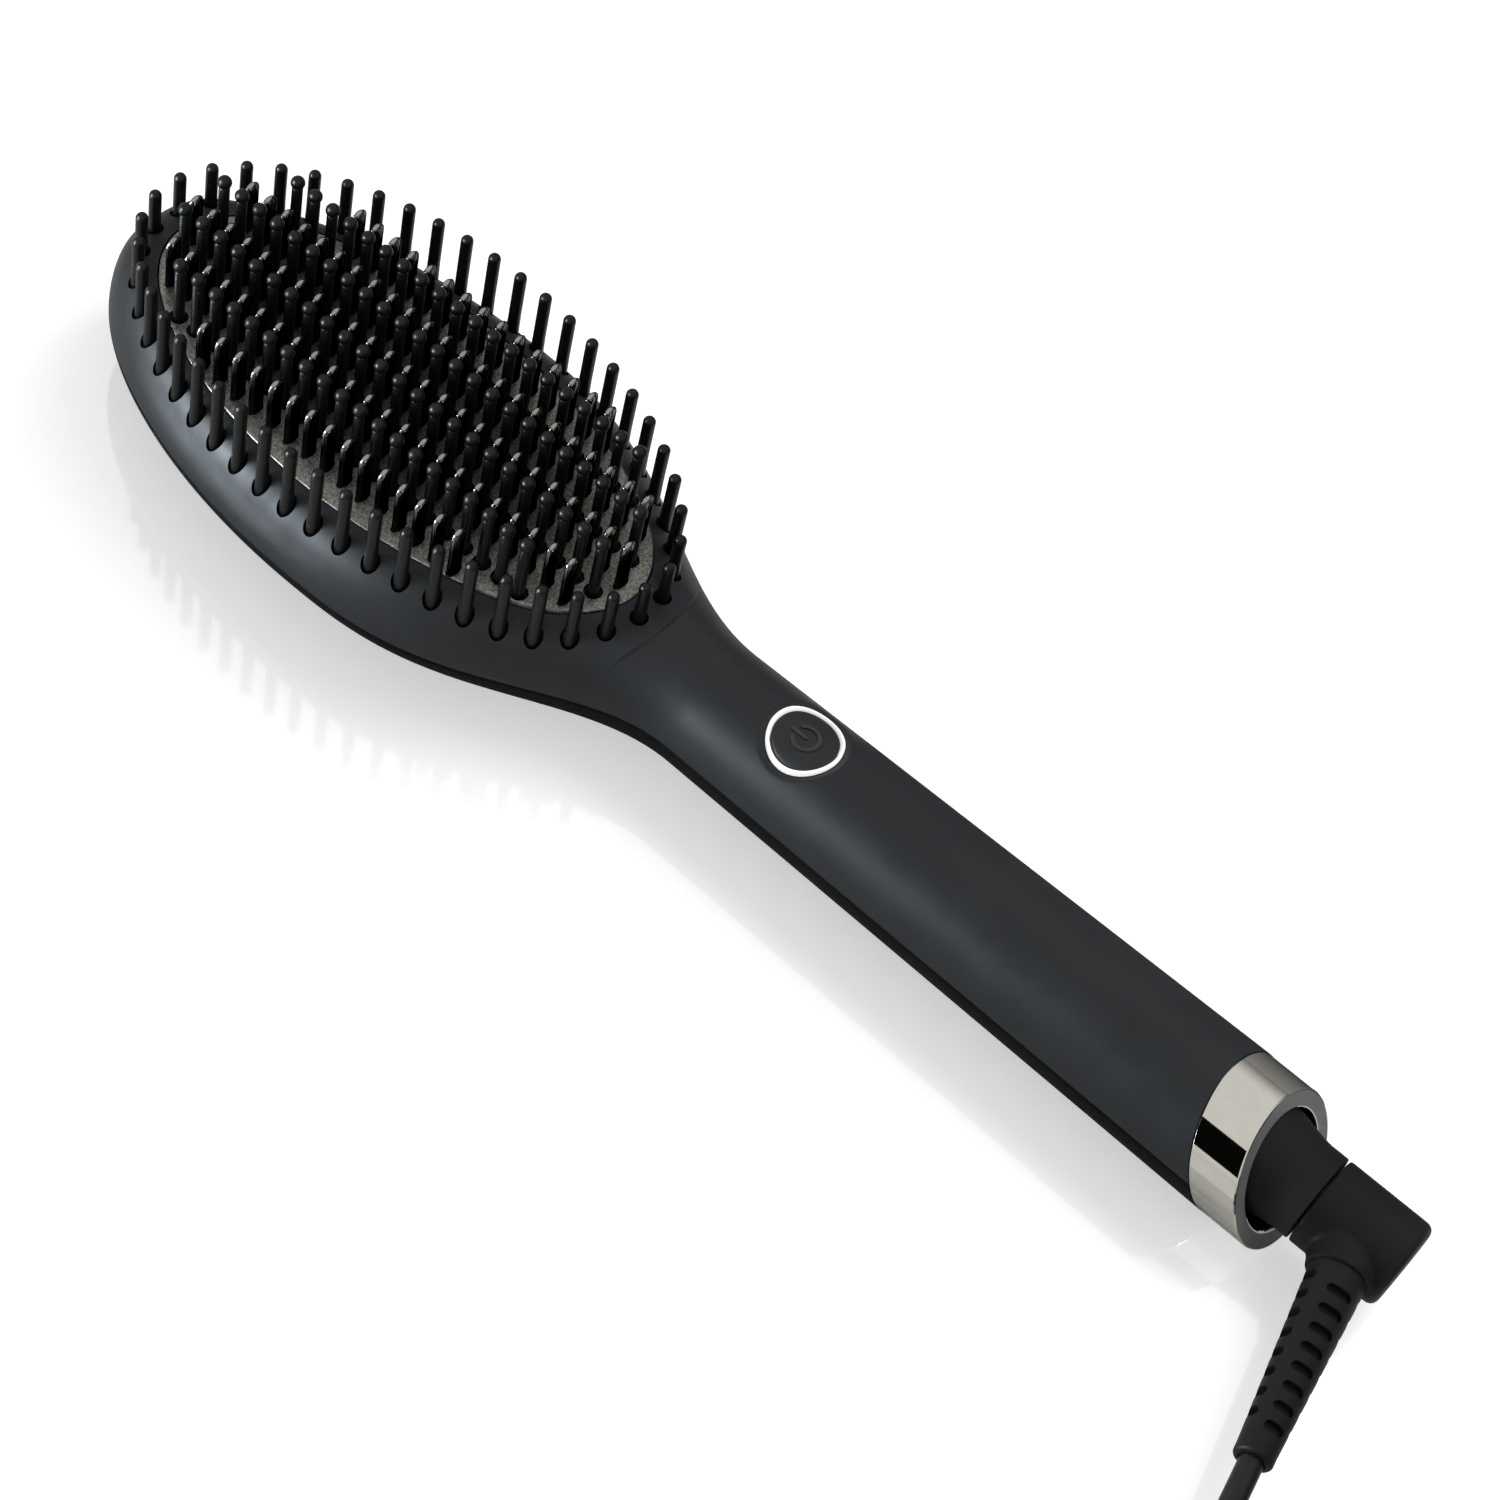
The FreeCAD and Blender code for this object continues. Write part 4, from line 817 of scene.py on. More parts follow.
def make_fins():
    """Polished blades across the brush: lens-shaped section, rounded crest and a small flare at the foot."""
    half = FIN_WIDTH / 2
    thick = FIN_THICKNESS / 2
    shoulder = FIN_HEIGHT - half
    levels = [(half + more, thick + more, height) for more, height in FIN_FLARE]
    levels += [(half, thick, shoulder / 2), (half, thick, shoulder)]
    for step in range(1, FIN_CREST_STEPS):
        turn = pi / 2 * step / FIN_CREST_STEPS
        narrow = thick * cos(turn) ** FIN_CREST_POWER
        levels.append((half * cos(turn), narrow, shoulder + half * sin(turn)))
    rows = []
    for across, along, height in levels:
        row = []
        for turn in circle(FIN_SIDES):
            lens = cos(turn) * abs(cos(turn)) ** FIN_LENS_POWER
            row.append((along * lens, across * sin(turn), height))
        rows.append(row)
    points, rings = stack(rows + [[(0, 0, FIN_HEIGHT)]])
    form = repeat(points, skin_faces(rings, FIN_SIDES) + [rings[0][::-1]], FIN_PLACES)
    return dress(solid("fins", *form, angle=radians(60)), "brush", "fin_polished", ["heated_fins"])


def make_ball_bristles():
    top = BALL_Z - FACE_Z
    profile = [(0, -PLATE_THICKNESS), (FOOT_RADIUS, -PLATE_THICKNESS), (FOOT_RADIUS, -FOOT_DROP - FOOT_BEVEL)]
    profile += [(FOOT_RADIUS - FOOT_BEVEL, -FOOT_DROP)]
    profile += [(STEM_RADIUS + more, height) for more, height in STEM_FLARE]
    profile += [(STEM_RADIUS * STEM_TAPER, top - BALL_RADIUS * BALL_NECK)]
    profile += arc((0, top), BALL_RADIUS, BALL_NECK_TURN, 90, steps=9)[:-1] + [(0, top + BALL_RADIUS)]
    piece = solid("ball_bristles", *repeat(*lathe(profile, BRISTLE_SIDES), BALL_PLACES))
    return dress(piece, "brush", "bristle_nylon", ["inner_bristles"])


def make_pins():
    """Outer bristles, lower towards both ends of the field."""
    root = PIN_RADIUS + PIN_ROOT_FLARE
    taper_start, taper_end = [FACE_Z + reach for reach in PIN_TAPER]
    pins = []
    for place in PIN_PLACES:
        along = (place[0] - FIELD_X) / (PIN_RING_LENGTH / 2)
        tip = PIN_TIP_Z - PIN_CROWN * along ** 2
        profile = [(0, PIN_ROOT_Z), (root, PIN_ROOT_Z), (root, taper_start), (PIN_RADIUS, taper_end)]
        profile += arc((0, tip - PIN_RADIUS), PIN_RADIUS, 0, 90, steps=6)[:-1] + [(0, tip)]
        pins.append(repeat(*lathe(profile, BRISTLE_SIDES), [place]))
    return dress(solid("outer_pins", *joined(pins)), "brush", "bristle_nylon", ["outer_bristles"])


# Button, its sign and the light ring

def crown_z(x, y):
    """Height of the handle's crown without the moat."""
    width, rise, _, round_width = section(x, 0)
    across = max(0, abs(y) - (width - round_width)) / round_width
    return AXIS_Z + rise * sqrt(max(0, 1 - across * across))


def crowned(x, y, height, follow):
    """A point at a height over the handle's crown, or over the crown's middle as far as it doesn't follow."""
    return x, y, follow * crown_z(x, y) + (1 - follow) * crown_z(BUTTON_X, 0) + height


def crowned_rows(levels):
    """Rows round the button's axis from radius, height and how much of the handle's crown they follow."""
    rows = []
    for radius, height, follow in levels:
        rows.append([crowned(BUTTON_X + radius * cos(turn), radius * sin(turn), height, follow)
                     for turn in circle(BUTTON_SIDES if radius else 1)])
    return rows


def make_light_ring():
    outer = RING_LIGHT_RADIUS
    inner = outer - RING_LIGHT_WALL
    levels = [(outer, -RING_LIGHT_DEPTH, 0), (outer, -RING_LIGHT_DROP, 1), (outer - RING_LIGHT_BEVEL, 0, 1)]
    levels += [((outer + inner) / 2, RING_LIGHT_CROWN, 1)]
    levels += [(inner + RING_LIGHT_BEVEL, 0, 1), (inner, -RING_LIGHT_DROP, 1), (inner, -RING_LIGHT_DEPTH, 0)]
    piece = solid("light_ring_glow", *looped(crowned_rows(levels)))
    return dress(piece, "brush", "light_ring_diffuser", ["light_ring"])


def make_button():
    radius = RING_LIGHT_RADIUS - RING_LIGHT_WALL - BUTTON_GAP
    points, rings = stack(crowned_rows([(radius * share - inwards, height, follow)
                                        for share, inwards, height, follow in BUTTON_LEVELS]))
    stem_top = AXIS_Z + NECK_RADIUS - BUTTON_DEPTH + BUTTON_STEM_SINK
    stem = repeat(*peg(BUTTON_STEM_RADIUS, BUTTON_STEM_Z, stem_top), [(BUTTON_X, 0, 0)])
    piece = solid("button_cap", *joined([(points, skin_faces(rings, BUTTON_SIDES)), stem]))
    return dress(piece, "button", "button_cap", ["power_button"])


def ribbon(spine, half_width):
    """Outline of a strip with rounded ends along points in the button's plane."""
    left = []
    right = []
    for index, (x, y) in enumerate(spine):
        before = spine[max(0, index - 1)]
        after = spine[min(len(spine) - 1, index + 1)]
        run = hypot(after[0] - before[0], after[1] - before[1])
        normal = (-(after[1] - before[1]) / run, (after[0] - before[0]) / run)
        left.append((x + normal[0] * half_width, y + normal[1] * half_width))
        right.append((x - normal[0] * half_width, y - normal[1] * half_width))
    ends = [round_end(spine[-1], left[-1], half_width), round_end(spine[0], right[0], half_width)]
    return left + ends[0] + right[::-1] + ends[1]


def round_end(centre, start, radius):
    first = atan2(start[1] - centre[1], start[0] - centre[0])
    turns = [first - pi * step / SIGN_END_STEPS for step in range(1, SIGN_END_STEPS)]
    return [(centre[0] + radius * cos(turn), centre[1] + radius * sin(turn)) for turn in turns]


def stroke_form(spine):
    """A raised strip along points in the button's plane, its top closed by quads and two rounded ends."""
    rows = []
    for lift, draw in SIGN_LEVELS:
        rows.append([crowned(x, y, lift, SIGN_FOLLOW) for x, y in ribbon(spine, SIGN_STROKE - draw)])
    points, rings = stack(rows)
    cap = rings[-1]
    count = len(cap)
    half = len(spine)
    end_count = (count - 2 * half) // 2
    faces = skin_faces([ring[::-1] for ring in rings], count)
    for index in range(half - 1):
        across = count - end_count - 1 - index
        faces.append([cap[index], cap[index + 1], cap[across - 1], cap[across]][::-1])
    faces.append([cap[half - 1 + step] for step in range(end_count + 2)][::-1])
    faces.append([cap[0]] + [cap[count - 1 - step] for step in range(end_count + 1)])
    return points, faces + [rings[0]]


def make_sign():
    """The power sign: an open circle and a bar through its gap, which faces the head."""
    bow = []
    for step in range(SIGN_STEPS + 1):
        turn = pi + SIGN_GAP + (2 * pi - 2 * SIGN_GAP) * step / SIGN_STEPS
        bow.append((BUTTON_X + SIGN_RADIUS * cos(turn), SIGN_RADIUS * sin(turn)))
    start = BUTTON_X - SIGN_RADIUS * SIGN_BAR_START
    length = SIGN_RADIUS * SIGN_BAR_LENGTH
    bar = [(start + length * step / SIGN_BAR_STEPS, 0) for step in range(SIGN_BAR_STEPS + 1)]
    piece = solid("power_sign", *joined([stroke_form(bow), stroke_form(bar)]), fix=True)
    return dress(piece, "button", "button_sign")


# End ring, cap, elbow and strain relief

def make_end_ring():
    small = RING_BEVEL * RING_BEVEL_SHARE
    profile = [(0, RING_RADIUS - RING_BEVEL), (small, RING_RADIUS - small), (RING_BEVEL, RING_RADIUS)]
    profile += [(RING_WIDTH - RING_BEVEL, RING_RADIUS), (RING_WIDTH - small, RING_RADIUS - small)]
    profile += [(RING_WIDTH, RING_RADIUS - RING_BEVEL), (RING_WIDTH, RING_BORE + RING_BEVEL)]
    profile += [(RING_WIDTH - small, RING_BORE + small), (RING_WIDTH - RING_BEVEL, RING_BORE), (0, RING_BORE)]
    rows = []
    for reach, radius in profile:
        row = []
        for turn in circle(RING_SIDES):
            rise = radius * sin(turn)
            row.append((RING_X + reach - RING_SLANT * rise, radius * cos(turn), AXIS_Z + rise))
        rows.append(row)
    piece = solid("metal_ring", *looped(rows), fix=True, angle=radians(12))
    # The bore takes the dark back plastic: painted shade inside the ring.
    for look in ("ring_nickel", "ring_face", "back_plastic_painted_shade"):
        piece.data.materials.append(LOOKS[look].material)
    for polygon in piece.data.polygons:
        polygon.material_index = {RING_FACE_ROW: 1, RING_BORE_ROW: 2}.get(polygon.index // RING_SIDES, 0)
    return dress(piece, "brush", "ring_nickel", ["end_ring"])


ALONG_X = Matrix(((0, 0, 1, 0), (1, 0, 0, 0), (0, 1, 0, AXIS_Z), (0, 0, 0, 1)))


def make_end_cap():
    profile = [(CAP_CAVITY_RADIUS, CAP_START_X)]
    profile += [(CAP_FLANGE_RADIUS, x) for x in (CAP_START_X, CAP_FLANGE_X)]
    profile += [(CAP_BODY_RADIUS, x) for x in (CAP_NECK_X, CAP_TAPER_X)]
    for step in range(1, CAP_TAPER_STEPS + 1):
        way = step / CAP_TAPER_STEPS
        fall = (smooth_share(0, 1, way) + way ** CAP_TAPER_POWER) / 2
        radius = CAP_BODY_RADIUS + (SEAM_RADIUS - CAP_BODY_RADIUS) * fall
        profile.append((radius, CAP_TAPER_X + CAP_TAPER_LENGTH * way))
    profile += [(SEAM_RADIUS, SEAM_X - SEAM_BEVEL), (SEAM_RADIUS - SEAM_BEVEL, SEAM_X)]
    profile += [(BEARING_RADIUS, x) for x in (SEAM_X, CAP_CAVITY_END_X)]
    profile += [(CAP_CAVITY_RADIUS, CAP_CAVITY_END_X)]
    points, faces = lathe(profile + profile[:1], sides=96)
    mesh = make_mesh("swivel_cap", turned(points, ALONG_X), faces)
    fix_normals(mesh, weld=True)
    finish_mesh(mesh)
    return dress(add_object("swivel_cap", mesh), "brush", "swivel_rubber", ["end_cap"])


EXIT_HEADING = Vector((sin(EXIT_LEAN), -cos(EXIT_LEAN), 0))
EXIT_SIDE = Vector((cos(EXIT_LEAN), sin(EXIT_LEAN), 0))
EXIT = Matrix((
    (EXIT_SIDE.x, 0, EXIT_HEADING.x, EXIT_X),
    (EXIT_SIDE.y, 0, EXIT_HEADING.y, 0),
    (0, -1, 0, AXIS_Z),
    (0, 0, 0, 1),
))
RELIEF = EXIT @ Matrix.Translation((0, 0, COLLAR_LENGTH))


def elbow_barrel():
    start = SEAM_X + SEAM_GAP
    profile = [(0, start + SPINDLE_INSERT), (SPINDLE_RADIUS, start + SPINDLE_INSERT), (SPINDLE_RADIUS, start)]
    profile += [(SEAM_RADIUS - SEAM_BEVEL, start), (SEAM_RADIUS, start + SEAM_BEVEL)]
    centre = (SEAM_RADIUS - ELBOW_ROUND, ELBOW_END_X - ELBOW_ROUND)
    profile += arc(centre, ELBOW_ROUND, 0, 90, steps=6) + [(0, ELBOW_END_X)]
    points, faces = lathe(profile, ELBOW_SIDES)
    return turned(points, ALONG_X), faces


def elbow_web():
    """The form that narrows from the barrel's length to the round collar."""
    start = SEAM_X + SEAM_GAP + WEB_SEAM_SETBACK
    end = ELBOW_END_X - WEB_END_SETBACK
    rows = []
    for step in range(WEB_STEPS + 1):
        way = step / WEB_STEPS
        ease = smooth_share(0, 1, way)
        distance = WEB_START + (COLLAR_LENGTH - WEB_START) * way
        centre = EXIT @ Vector((0, 0, distance))
        low = (1 - ease) * (start - centre.x) / EXIT_SIDE.x + ease * -COLLAR_RADIUS
        high = (1 - ease) * (end - centre.x) / EXIT_SIDE.x + ease * COLLAR_RADIUS
        thick = (1 - ease) * WEB_HALF_HEIGHT + ease * COLLAR_RADIUS
        power = WEB_POWER + WEB_POWER_GAIN * ease
        row = []
        for turn in circle(ELBOW_SIDES):
            cosine = copysign(abs(cos(turn)) ** power, cos(turn))
            sine = copysign(abs(sin(turn)) ** power, sin(turn))
            row.append(EXIT @ Vector(((low + high) / 2 + (high - low) / 2 * cosine, thick * sine, distance)))
        rows.append(row)
    return capped(rows)


def make_elbow():
    """Barrel and web, merged and smoothed where they meet."""
    mesh = make_mesh("swivel_elbow_form", *joined([elbow_barrel(), elbow_web()]))
    fix_normals(mesh)
    piece = add_object("swivel_elbow_form", mesh)
    merge = piece.modifiers.new("merge", "REMESH")
    merge.mode = "VOXEL"
    merge.voxel_size = 0.28 * MM
    ease = piece.modifiers.new("ease", "SMOOTH")
    ease.factor = 0.5
    ease.iterations = 10
    bake(piece)
    finish_mesh(piece.data)
    return dress(piece, "swivel", "swivel_rubber", ["swivel_elbow"])


def slot_tool():
    """Rounded slots in columns, neighbouring columns half a pitch apart."""
    taper = (RELIEF_ROOT_RADIUS - RELIEF_TIP_RADIUS) / RELIEF_LENGTH
    first = (RELIEF_LENGTH - RELIEF_LIP - (SLOT_COUNT - 0.5) * SLOT_PITCH) / 2
    slots = []
    for column in range(SLOT_COLUMNS):
        place = RELIEF @ Matrix.Rotation(radians(SLOT_TURN + 360 / SLOT_COLUMNS * column), 4, "Z")
        for index in range(SLOT_COUNT):
            along = first + (index + 0.5 * (column % 2)) * SLOT_PITCH
            radius = RELIEF_ROOT_RADIUS - taper * along
            span = SLOT_SPAN * 2 * radius / (RELIEF_ROOT_RADIUS + RELIEF_TIP_RADIUS)
            outline = []
            for turn in circle(SLOT_SIDES):
                turn += pi / SLOT_SIDES
                shift = copysign((span - SLOT_WIDTH) / 2, cos(turn))
                outline.append((shift + SLOT_WIDTH / 2 * cos(turn), along + SLOT_WIDTH / 2 * sin(turn)))
            slots.append(capped([[place @ Vector((depth, y, z)) for y, z in outline]
                                 for depth in (radius - SLOT_DEPTH, radius + SLOT_REACH)]))
    cutter = tool(*joined(slots))
    fix_normals(cutter.data)
    return cutter


def make_relief():
    profile = [(0, -RELIEF_INSERT), (RELIEF_ROOT_RADIUS, -RELIEF_INSERT)]
    for step in range(1, RELIEF_STEPS + 1):
        way = step / RELIEF_STEPS
        radius = RELIEF_ROOT_RADIUS + (RELIEF_TIP_RADIUS - RELIEF_ROOT_RADIUS) * way
        profile.append((radius, way * (RELIEF_LENGTH - RELIEF_LIP)))
    centre = (RELIEF_TIP_RADIUS - RELIEF_TIP_ROUND, RELIEF_LENGTH - RELIEF_TIP_ROUND)
    profile += arc(centre, RELIEF_TIP_ROUND, 0, 90, steps=4)
    mouth = RELIEF_LENGTH - MOUTH_DEPTH
    profile += [(CORD_RADIUS + MOUTH_FLARE, RELIEF_LENGTH), (CORD_RADIUS + MOUTH_GAP, mouth), (0, mouth)]
    points, faces = lathe(profile, sides=64)
    mesh = make_mesh("relief_sleeve", turned(points, RELIEF), faces)
    fix_normals(mesh)
    piece = add_object("relief_sleeve", mesh)
    cut(piece, slot_tool())
    finish_mesh(piece.data)
    return dress(piece, "swivel", "swivel_rubber", ["strain_relief"])


# Cord, tie and plug

def route(start, heading, steps):
    points = []
    for along, height in steps:
        spot = start + heading * along
        points.append(Vector((spot.x, spot.y, height)))
    return points


def coil_points(start):
    """Turns from outside in and out again, one layer on the other, ending at the outer radius."""
    centre = start + EXIT_HEADING * COIL_RUN_IN + EXIT_SIDE * COIL_RADIUS
    points = []
    turn = pi + EXIT_LEAN
    inner = COIL_RADIUS - COIL_HALF_TURNS / 2 * COIL_PITCH
    total = COIL_HALF_TURNS * COIL_STEPS
    for layer in range(COIL_LAYERS):
        inwards = layer % 2 == 0
        height = layer * COIL_PITCH
        for step in range(total + 1):
            way = step / total
            radius = COIL_RADIUS + (inner - COIL_RADIUS) * (way if inwards else 1 - way)
            points.append(coil_point(centre, turn + pi * step / COIL_STEPS, radius, height))
        turn += pi * COIL_HALF_TURNS
        if layer < COIL_LAYERS - 1:
            edge = inner if inwards else COIL_RADIUS
            for step in range(1, COIL_STEPS):
                climb = height + COIL_PITCH * step / COIL_STEPS
                points.append(coil_point(centre, turn + pi * step / COIL_STEPS, edge, climb))
            turn += pi
    return points


def coil_point(centre, turn, radius, height):
    """A control point a little outside the turn, so that the curve keeps the radius."""
    reach = radius / cos(pi / COIL_STEPS / 2) ** 0.5
    return centre + Vector((reach * cos(turn), reach * sin(turn), height))


CORD_EXIT = EXIT @ Vector((0, 0, COLLAR_LENGTH + RELIEF_LENGTH))


def cord_points():
    lead = [CORD_EXIT] + route(CORD_EXIT, EXIT_HEADING, LEAD_ROUTE)
    coil = coil_points(lead[-1])
    coil_end = coil[-1] - EXIT_HEADING * COIL_RUN_IN
    return lead + coil + [coil_end] + route(coil_end, -EXIT_HEADING, TAIL_ROUTE)


CORD_POINTS = cord_points()
PLUG = Matrix((
    (EXIT_SIDE.x, -EXIT_HEADING.x, 0, CORD_POINTS[-1].x),
    (EXIT_SIDE.y, -EXIT_HEADING.y, 0, CORD_POINTS[-1].y),
    (0, 0, 1, CORD_POINTS[-1].z),
    (0, 0, 0, 1),
))


def make_cord():
    curve = bpy.data.curves.new("mains_cord", "CURVE")
    curve.dimensions = "3D"
    spline = curve.splines.new("NURBS")
    spline.points.add(len(CORD_POINTS) - 1)
    for point, place in zip(spline.points, CORD_POINTS):
        point.co = (*(place * MM), 1)
    spline.order_u = 3
    spline.use_endpoint_u = True
    spline.resolution_u = 6
    curve.bevel_depth = CORD_RADIUS * MM
    curve.bevel_resolution = 5
    curve.use_fill_caps = True
    piece = add_object("mains_cord", curve)
    return dress(piece, "swivel", "cable_sheath", ["cord_lead", "cord_coil", "cord_tail"])


def rounded_outline(half_width, half_height, corner):
    outline = []
    for side, level, start in ((1, 1, 0), (-1, 1, 90), (-1, -1, 180), (1, -1, 270)):
        outline += arc((side * (half_width - corner), level * (half_height - corner)), corner,
                       start, start + 90, steps=6)
    return outline


def make_tie():
    """A strap with rounded corners round the coil's section."""
    low, high = [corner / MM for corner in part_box("cord_tie")]
    middle = (low + high) / 2
    half_x, half_y, half_z = [(end - start) / 2 for start, end in zip(low, high)]
    outer = rounded_outline(half_y, half_z, TIE_CORNER)
    inner = rounded_outline(half_y - TIE_WALL, half_z - TIE_WALL, TIE_CORNER - TIE_WALL)
    edge = half_x - TIE_EDGE
    rows = []
    for outline, x in ((inner, -half_x), (outer, -edge), (outer, edge), (inner, half_x)):
        rows.append([(middle.x + x, middle.y + y, middle.z + z) for y, z in outline])
    return dress(solid("tie_strap", *looped(rows), fix=True), "swivel", "tie_strap", ["cord_tie"])


def make_plug():
    rows = []
    for along, half_width, half_height, corner in PLUG_LEVELS:
        rows.append([(x, along, z) for x, z in rounded_outline(half_width, half_height, corner)])
    points, faces = capped(rows)
    piece = solid("plug_moulding", turned(points, PLUG), faces, fix=True)
    return dress(piece, "swivel", "cable_sheath", ["plug_body"])


def make_plug_pins():
    shoulder = PLUG_PIN_LENGTH - PLUG_PIN_ROUND
    profile = [(0, -PLUG_PIN_INSERT), (PLUG_PIN_RADIUS, -PLUG_PIN_INSERT), (PLUG_PIN_RADIUS, shoulder)]
    profile += arc((PLUG_PIN_RADIUS - PLUG_PIN_ROUND, shoulder), PLUG_PIN_ROUND, 0, 90, steps=5)
    points, faces = lathe(profile + [(0, PLUG_PIN_LENGTH)], sides=32)
    facing = Matrix(((1, 0, 0, 0), (0, 0, 1, 0), (0, -1, 0, 0), (0, 0, 0, 1)))
    plug_face = PLUG_LEVELS[-1][0]
    places = [(side * PLUG_PIN_SPREAD / 2, plug_face, 0) for side in (-1, 1)]
    points, faces = repeat(turned(points, facing), faces, places)
    piece = solid("plug_prongs", turned(points, PLUG), faces, fix=True)
    return dress(piece, "swivel", "plug_pin_metal", ["plug_pins"])


make_front()
make_back()
make_plate()
make_fins()
make_ball_bristles()
make_pins()
make_light_ring()
make_button()
make_sign()
ring = make_end_ring()
make_end_cap()
elbow = make_elbow()
relief = make_relief()
cord = make_cord()
tie = make_tie()
plug = make_plug()
prongs = make_plug_pins()


# Hidden pieces keep their CAD form
HIDDEN_PIECES = {
    "inner_plastic": ("heater_frame", "tact_switch", "buzzer", "triac", "swivel_spindle"),
    "bristle_pad_silicone": ("bristle_pad", "switch_plunger"),
    "ceramic": ("ceramic_heaters", "ring_leds", "mains_fuse", "thermistor"),
    "mica": ("mica_strips",),
    "circuit_board": ("control_board",),
    "lead_sleeve": ("heater_leads", "mains_leads"),
    "film_box": ("capacitor",),
    "inner_steel": ("heat_shield", "board_screws", "thermal_fuse"),
    "brass": ("slip_rings",),
    "carbon_brush": ("contact_brushes",),
}
for look, names in HIDDEN_PIECES.items():
    for name in names:
        node_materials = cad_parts[name].data.materials
        node_materials.clear()
        node_materials.append(LOOKS[look].material)


# Floor, light and camera
FLOOR_HALF_SIZE = 6000.0
FLOOR_Z = -0.02
FLOOR_GLOW = 0.50
WORLD_LIGHT = 0.42
SKY_AXIS = (-0.2, -0.35, 0.915)
SKY_START = -0.15
SKY_END = 0.55
SKY_BRIGHT = 0.85
SKY_DARK = 0.05
SQUARE = ((-1, -1), (1, -1), (1, 1), (-1, 1))


def make_floor():
    """White to the camera, glossy enough for a faint mirror image."""
    corners = [(side * FLOOR_HALF_SIZE, level * FLOOR_HALF_SIZE, FLOOR_Z) for side, level in SQUARE]
    floor = add_object("floor", make_mesh("floor", corners, [(0, 1, 2, 3)]))
    recipe = Recipe("floor_white", (0.9, 0.9, 0.9), roughness=0.07)
    recipe.put(IOR=2.1, Emission_Color=(1, 1, 1, 1))
    seen = recipe.node("LightPath", "Is Camera Ray", {})
    recipe.feed(recipe.spread(seen, 0, FLOOR_GLOW, 0, 1), "Emission Strength")
    floor.data.materials.append(recipe.material)


def make_world():
    """White to the camera, even for diffuse light; in mirrors bright above and in front, dark behind."""
    world = bpy.data.worlds.new("studio")
    bpy.context.scene.world = world
    world.use_nodes = True
    tree = world.node_tree
    background = tree.nodes["Background"]
    background.inputs["Color"].default_value = (1, 1, 1, 1)
    towards = add_node(tree, "TexCoord", "Generated", {})
    rise = add_node(tree, "VectorMath", "Value", {0: towards, 1: SKY_AXIS}, operation="DOT_PRODUCT")
    limits = {"From Min": SKY_START, "From Max": SKY_END, "To Min": SKY_DARK, "To Max": SKY_BRIGHT}
    sky = add_node(tree, "MapRange", "Result", {"Value": rise, **limits}, interpolation_type="SMOOTHSTEP")
    mirrored = add_node(tree, "LightPath", "Is Glossy Ray", {})
    light = add_node(tree, "Mix", "Result", {"Factor": mirrored, "A": WORLD_LIGHT, "B": sky})
    seen = add_node(tree, "LightPath", "Is Camera Ray", {})
    strength = add_node(tree, "Mix", "Result", {"Factor": seen, "A": light, "B": 1.0})
    tree.links.new(strength, background.inputs["Strength"])


def area_light(name, place, aim, width, height, watts, colour=(1, 1, 1)):
    lamp = bpy.data.lights.new(name, "AREA")
    lamp.shape = "RECTANGLE"
    lamp.size = width
    lamp.size_y = height
    lamp.energy = watts
    lamp.color = colour
    piece = bpy.data.objects.new(name, lamp)
    bpy.context.scene.collection.objects.link(piece)
    piece.location = place
    piece.rotation_mode = "QUATERNION"
    piece.rotation_quaternion = (Vector(aim) - Vector(place)).to_track_quat("-Z", "Y")
    return piece


def spare(lamp, pieces):
    """Keeps a lamp's light off some pieces."""
    spared = bpy.data.collections.new("spared_by_" + lamp.name)
    for piece in pieces:
        spared.objects.link(piece)
    for row in spared.collection_objects:
        row.light_linking.link_state = "EXCLUDE"
    lamp.light_linking.receiver_collection = spared


def make_lights():
    """The key gives the shadow, the sheen lamp only the reflection along the near flank."""
    key = area_light("key", place=(0.25, 0.75, 0.95), aim=(0, 0, 0), width=0.9, height=0.9, watts=9.0)
    key.visible_glossy = False
    sheen = area_light("sheen", place=(-0.53, -0.60, 0.21), aim=(-0.08, -0.02, 0.02), width=0.36, height=0.26,
                       watts=16.0, colour=(0.80, 0.91, 1.0))
    sheen.visible_diffuse = False
    spare(sheen, [ring, elbow])


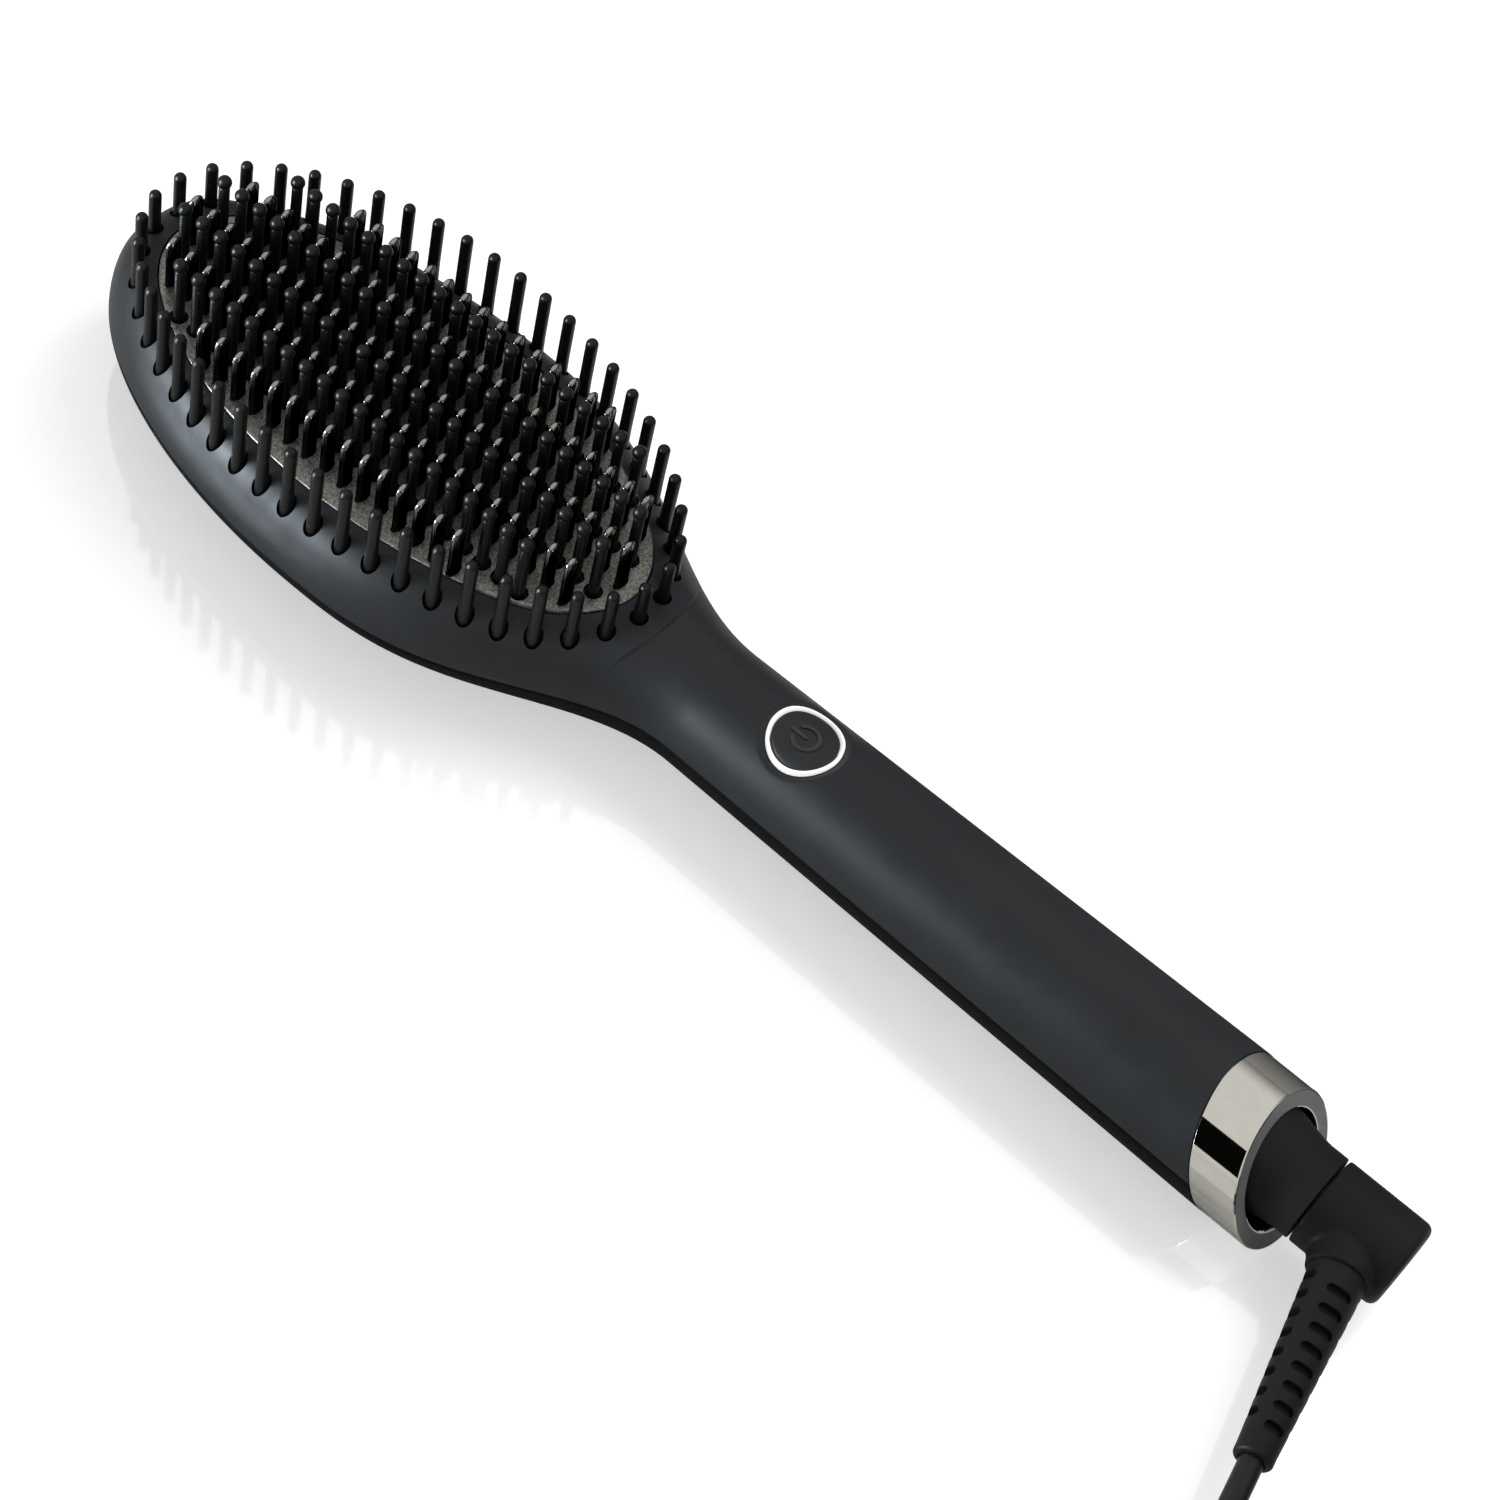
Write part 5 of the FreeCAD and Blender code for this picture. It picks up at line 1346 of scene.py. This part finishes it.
def dark_card(name, centre, facing, half_width, half_height, glow=0.0):
    """A black card, wide along X, that only reflections see, and that may glow towards its top."""
    across = Vector((1, 0, 0))
    rise = Vector(facing).cross(across).normalized()
    corners = []
    for side, level in SQUARE:
        corners.append(Vector(centre) + across * side * half_width + rise * level * half_height)
    card = add_object(name, make_mesh(name, corners, [(0, 1, 2, 3)]))
    recipe = Recipe(name + "_black", (0.004, 0.004, 0.004), roughness=0.9, specular=0.0)
    if glow:
        recipe.put(Emission_Color=(1, 1, 1, 1))
        top = (centre[2] + half_height) * MM
        recipe.feed(recipe.spread(recipe.height(), 0, glow, 0, top), "Emission Strength")
    card.data.materials.append(recipe.material)
    card.visible_camera = False
    card.visible_diffuse = False
    card.visible_shadow = False


CAMERA_AZIMUTH = radians(26.4418)
CAMERA_ELEVATION = radians(55.7175)
CAMERA_ROLL = radians(16.6409)
CAMERA_TARGET = Vector((0.00918, -0.00924, 0.0268))
CAMERA_DISTANCE = 0.6256
CAMERA_LENS = 84.0


def make_camera():
    level = Vector((cos(CAMERA_AZIMUTH), sin(CAMERA_AZIMUTH), 0))
    back = Vector((sin(CAMERA_AZIMUTH) * cos(CAMERA_ELEVATION),
                   -cos(CAMERA_AZIMUTH) * cos(CAMERA_ELEVATION), sin(CAMERA_ELEVATION)))
    right = cos(CAMERA_ROLL) * level + sin(CAMERA_ROLL) * back.cross(level)
    data = bpy.data.cameras.new("camera")
    data.lens = CAMERA_LENS
    data.sensor_width = 36.0
    data.clip_start = 0.01
    camera = bpy.data.objects.new("camera", data)
    bpy.context.scene.collection.objects.link(camera)
    turn = Matrix((right, back.cross(right), back)).transposed().to_4x4()
    camera.matrix_world = Matrix.Translation(CAMERA_TARGET + back * CAMERA_DISTANCE) @ turn
    bpy.context.scene.camera = camera


make_floor()
make_world()
make_lights()
dark_card("front_card", centre=(109.0, -140.0, 94.0), facing=(11.0, 132.0, -70.0),
          half_width=60.0, half_height=54.0)
dark_card("far_card", centre=(90.0, 34.0, 21.0), facing=(0.0, -1.0, 0.0),
          half_width=76.0, half_height=20.0, glow=0.32)
make_camera()
bpy.context.scene.view_settings.view_transform = "Standard"
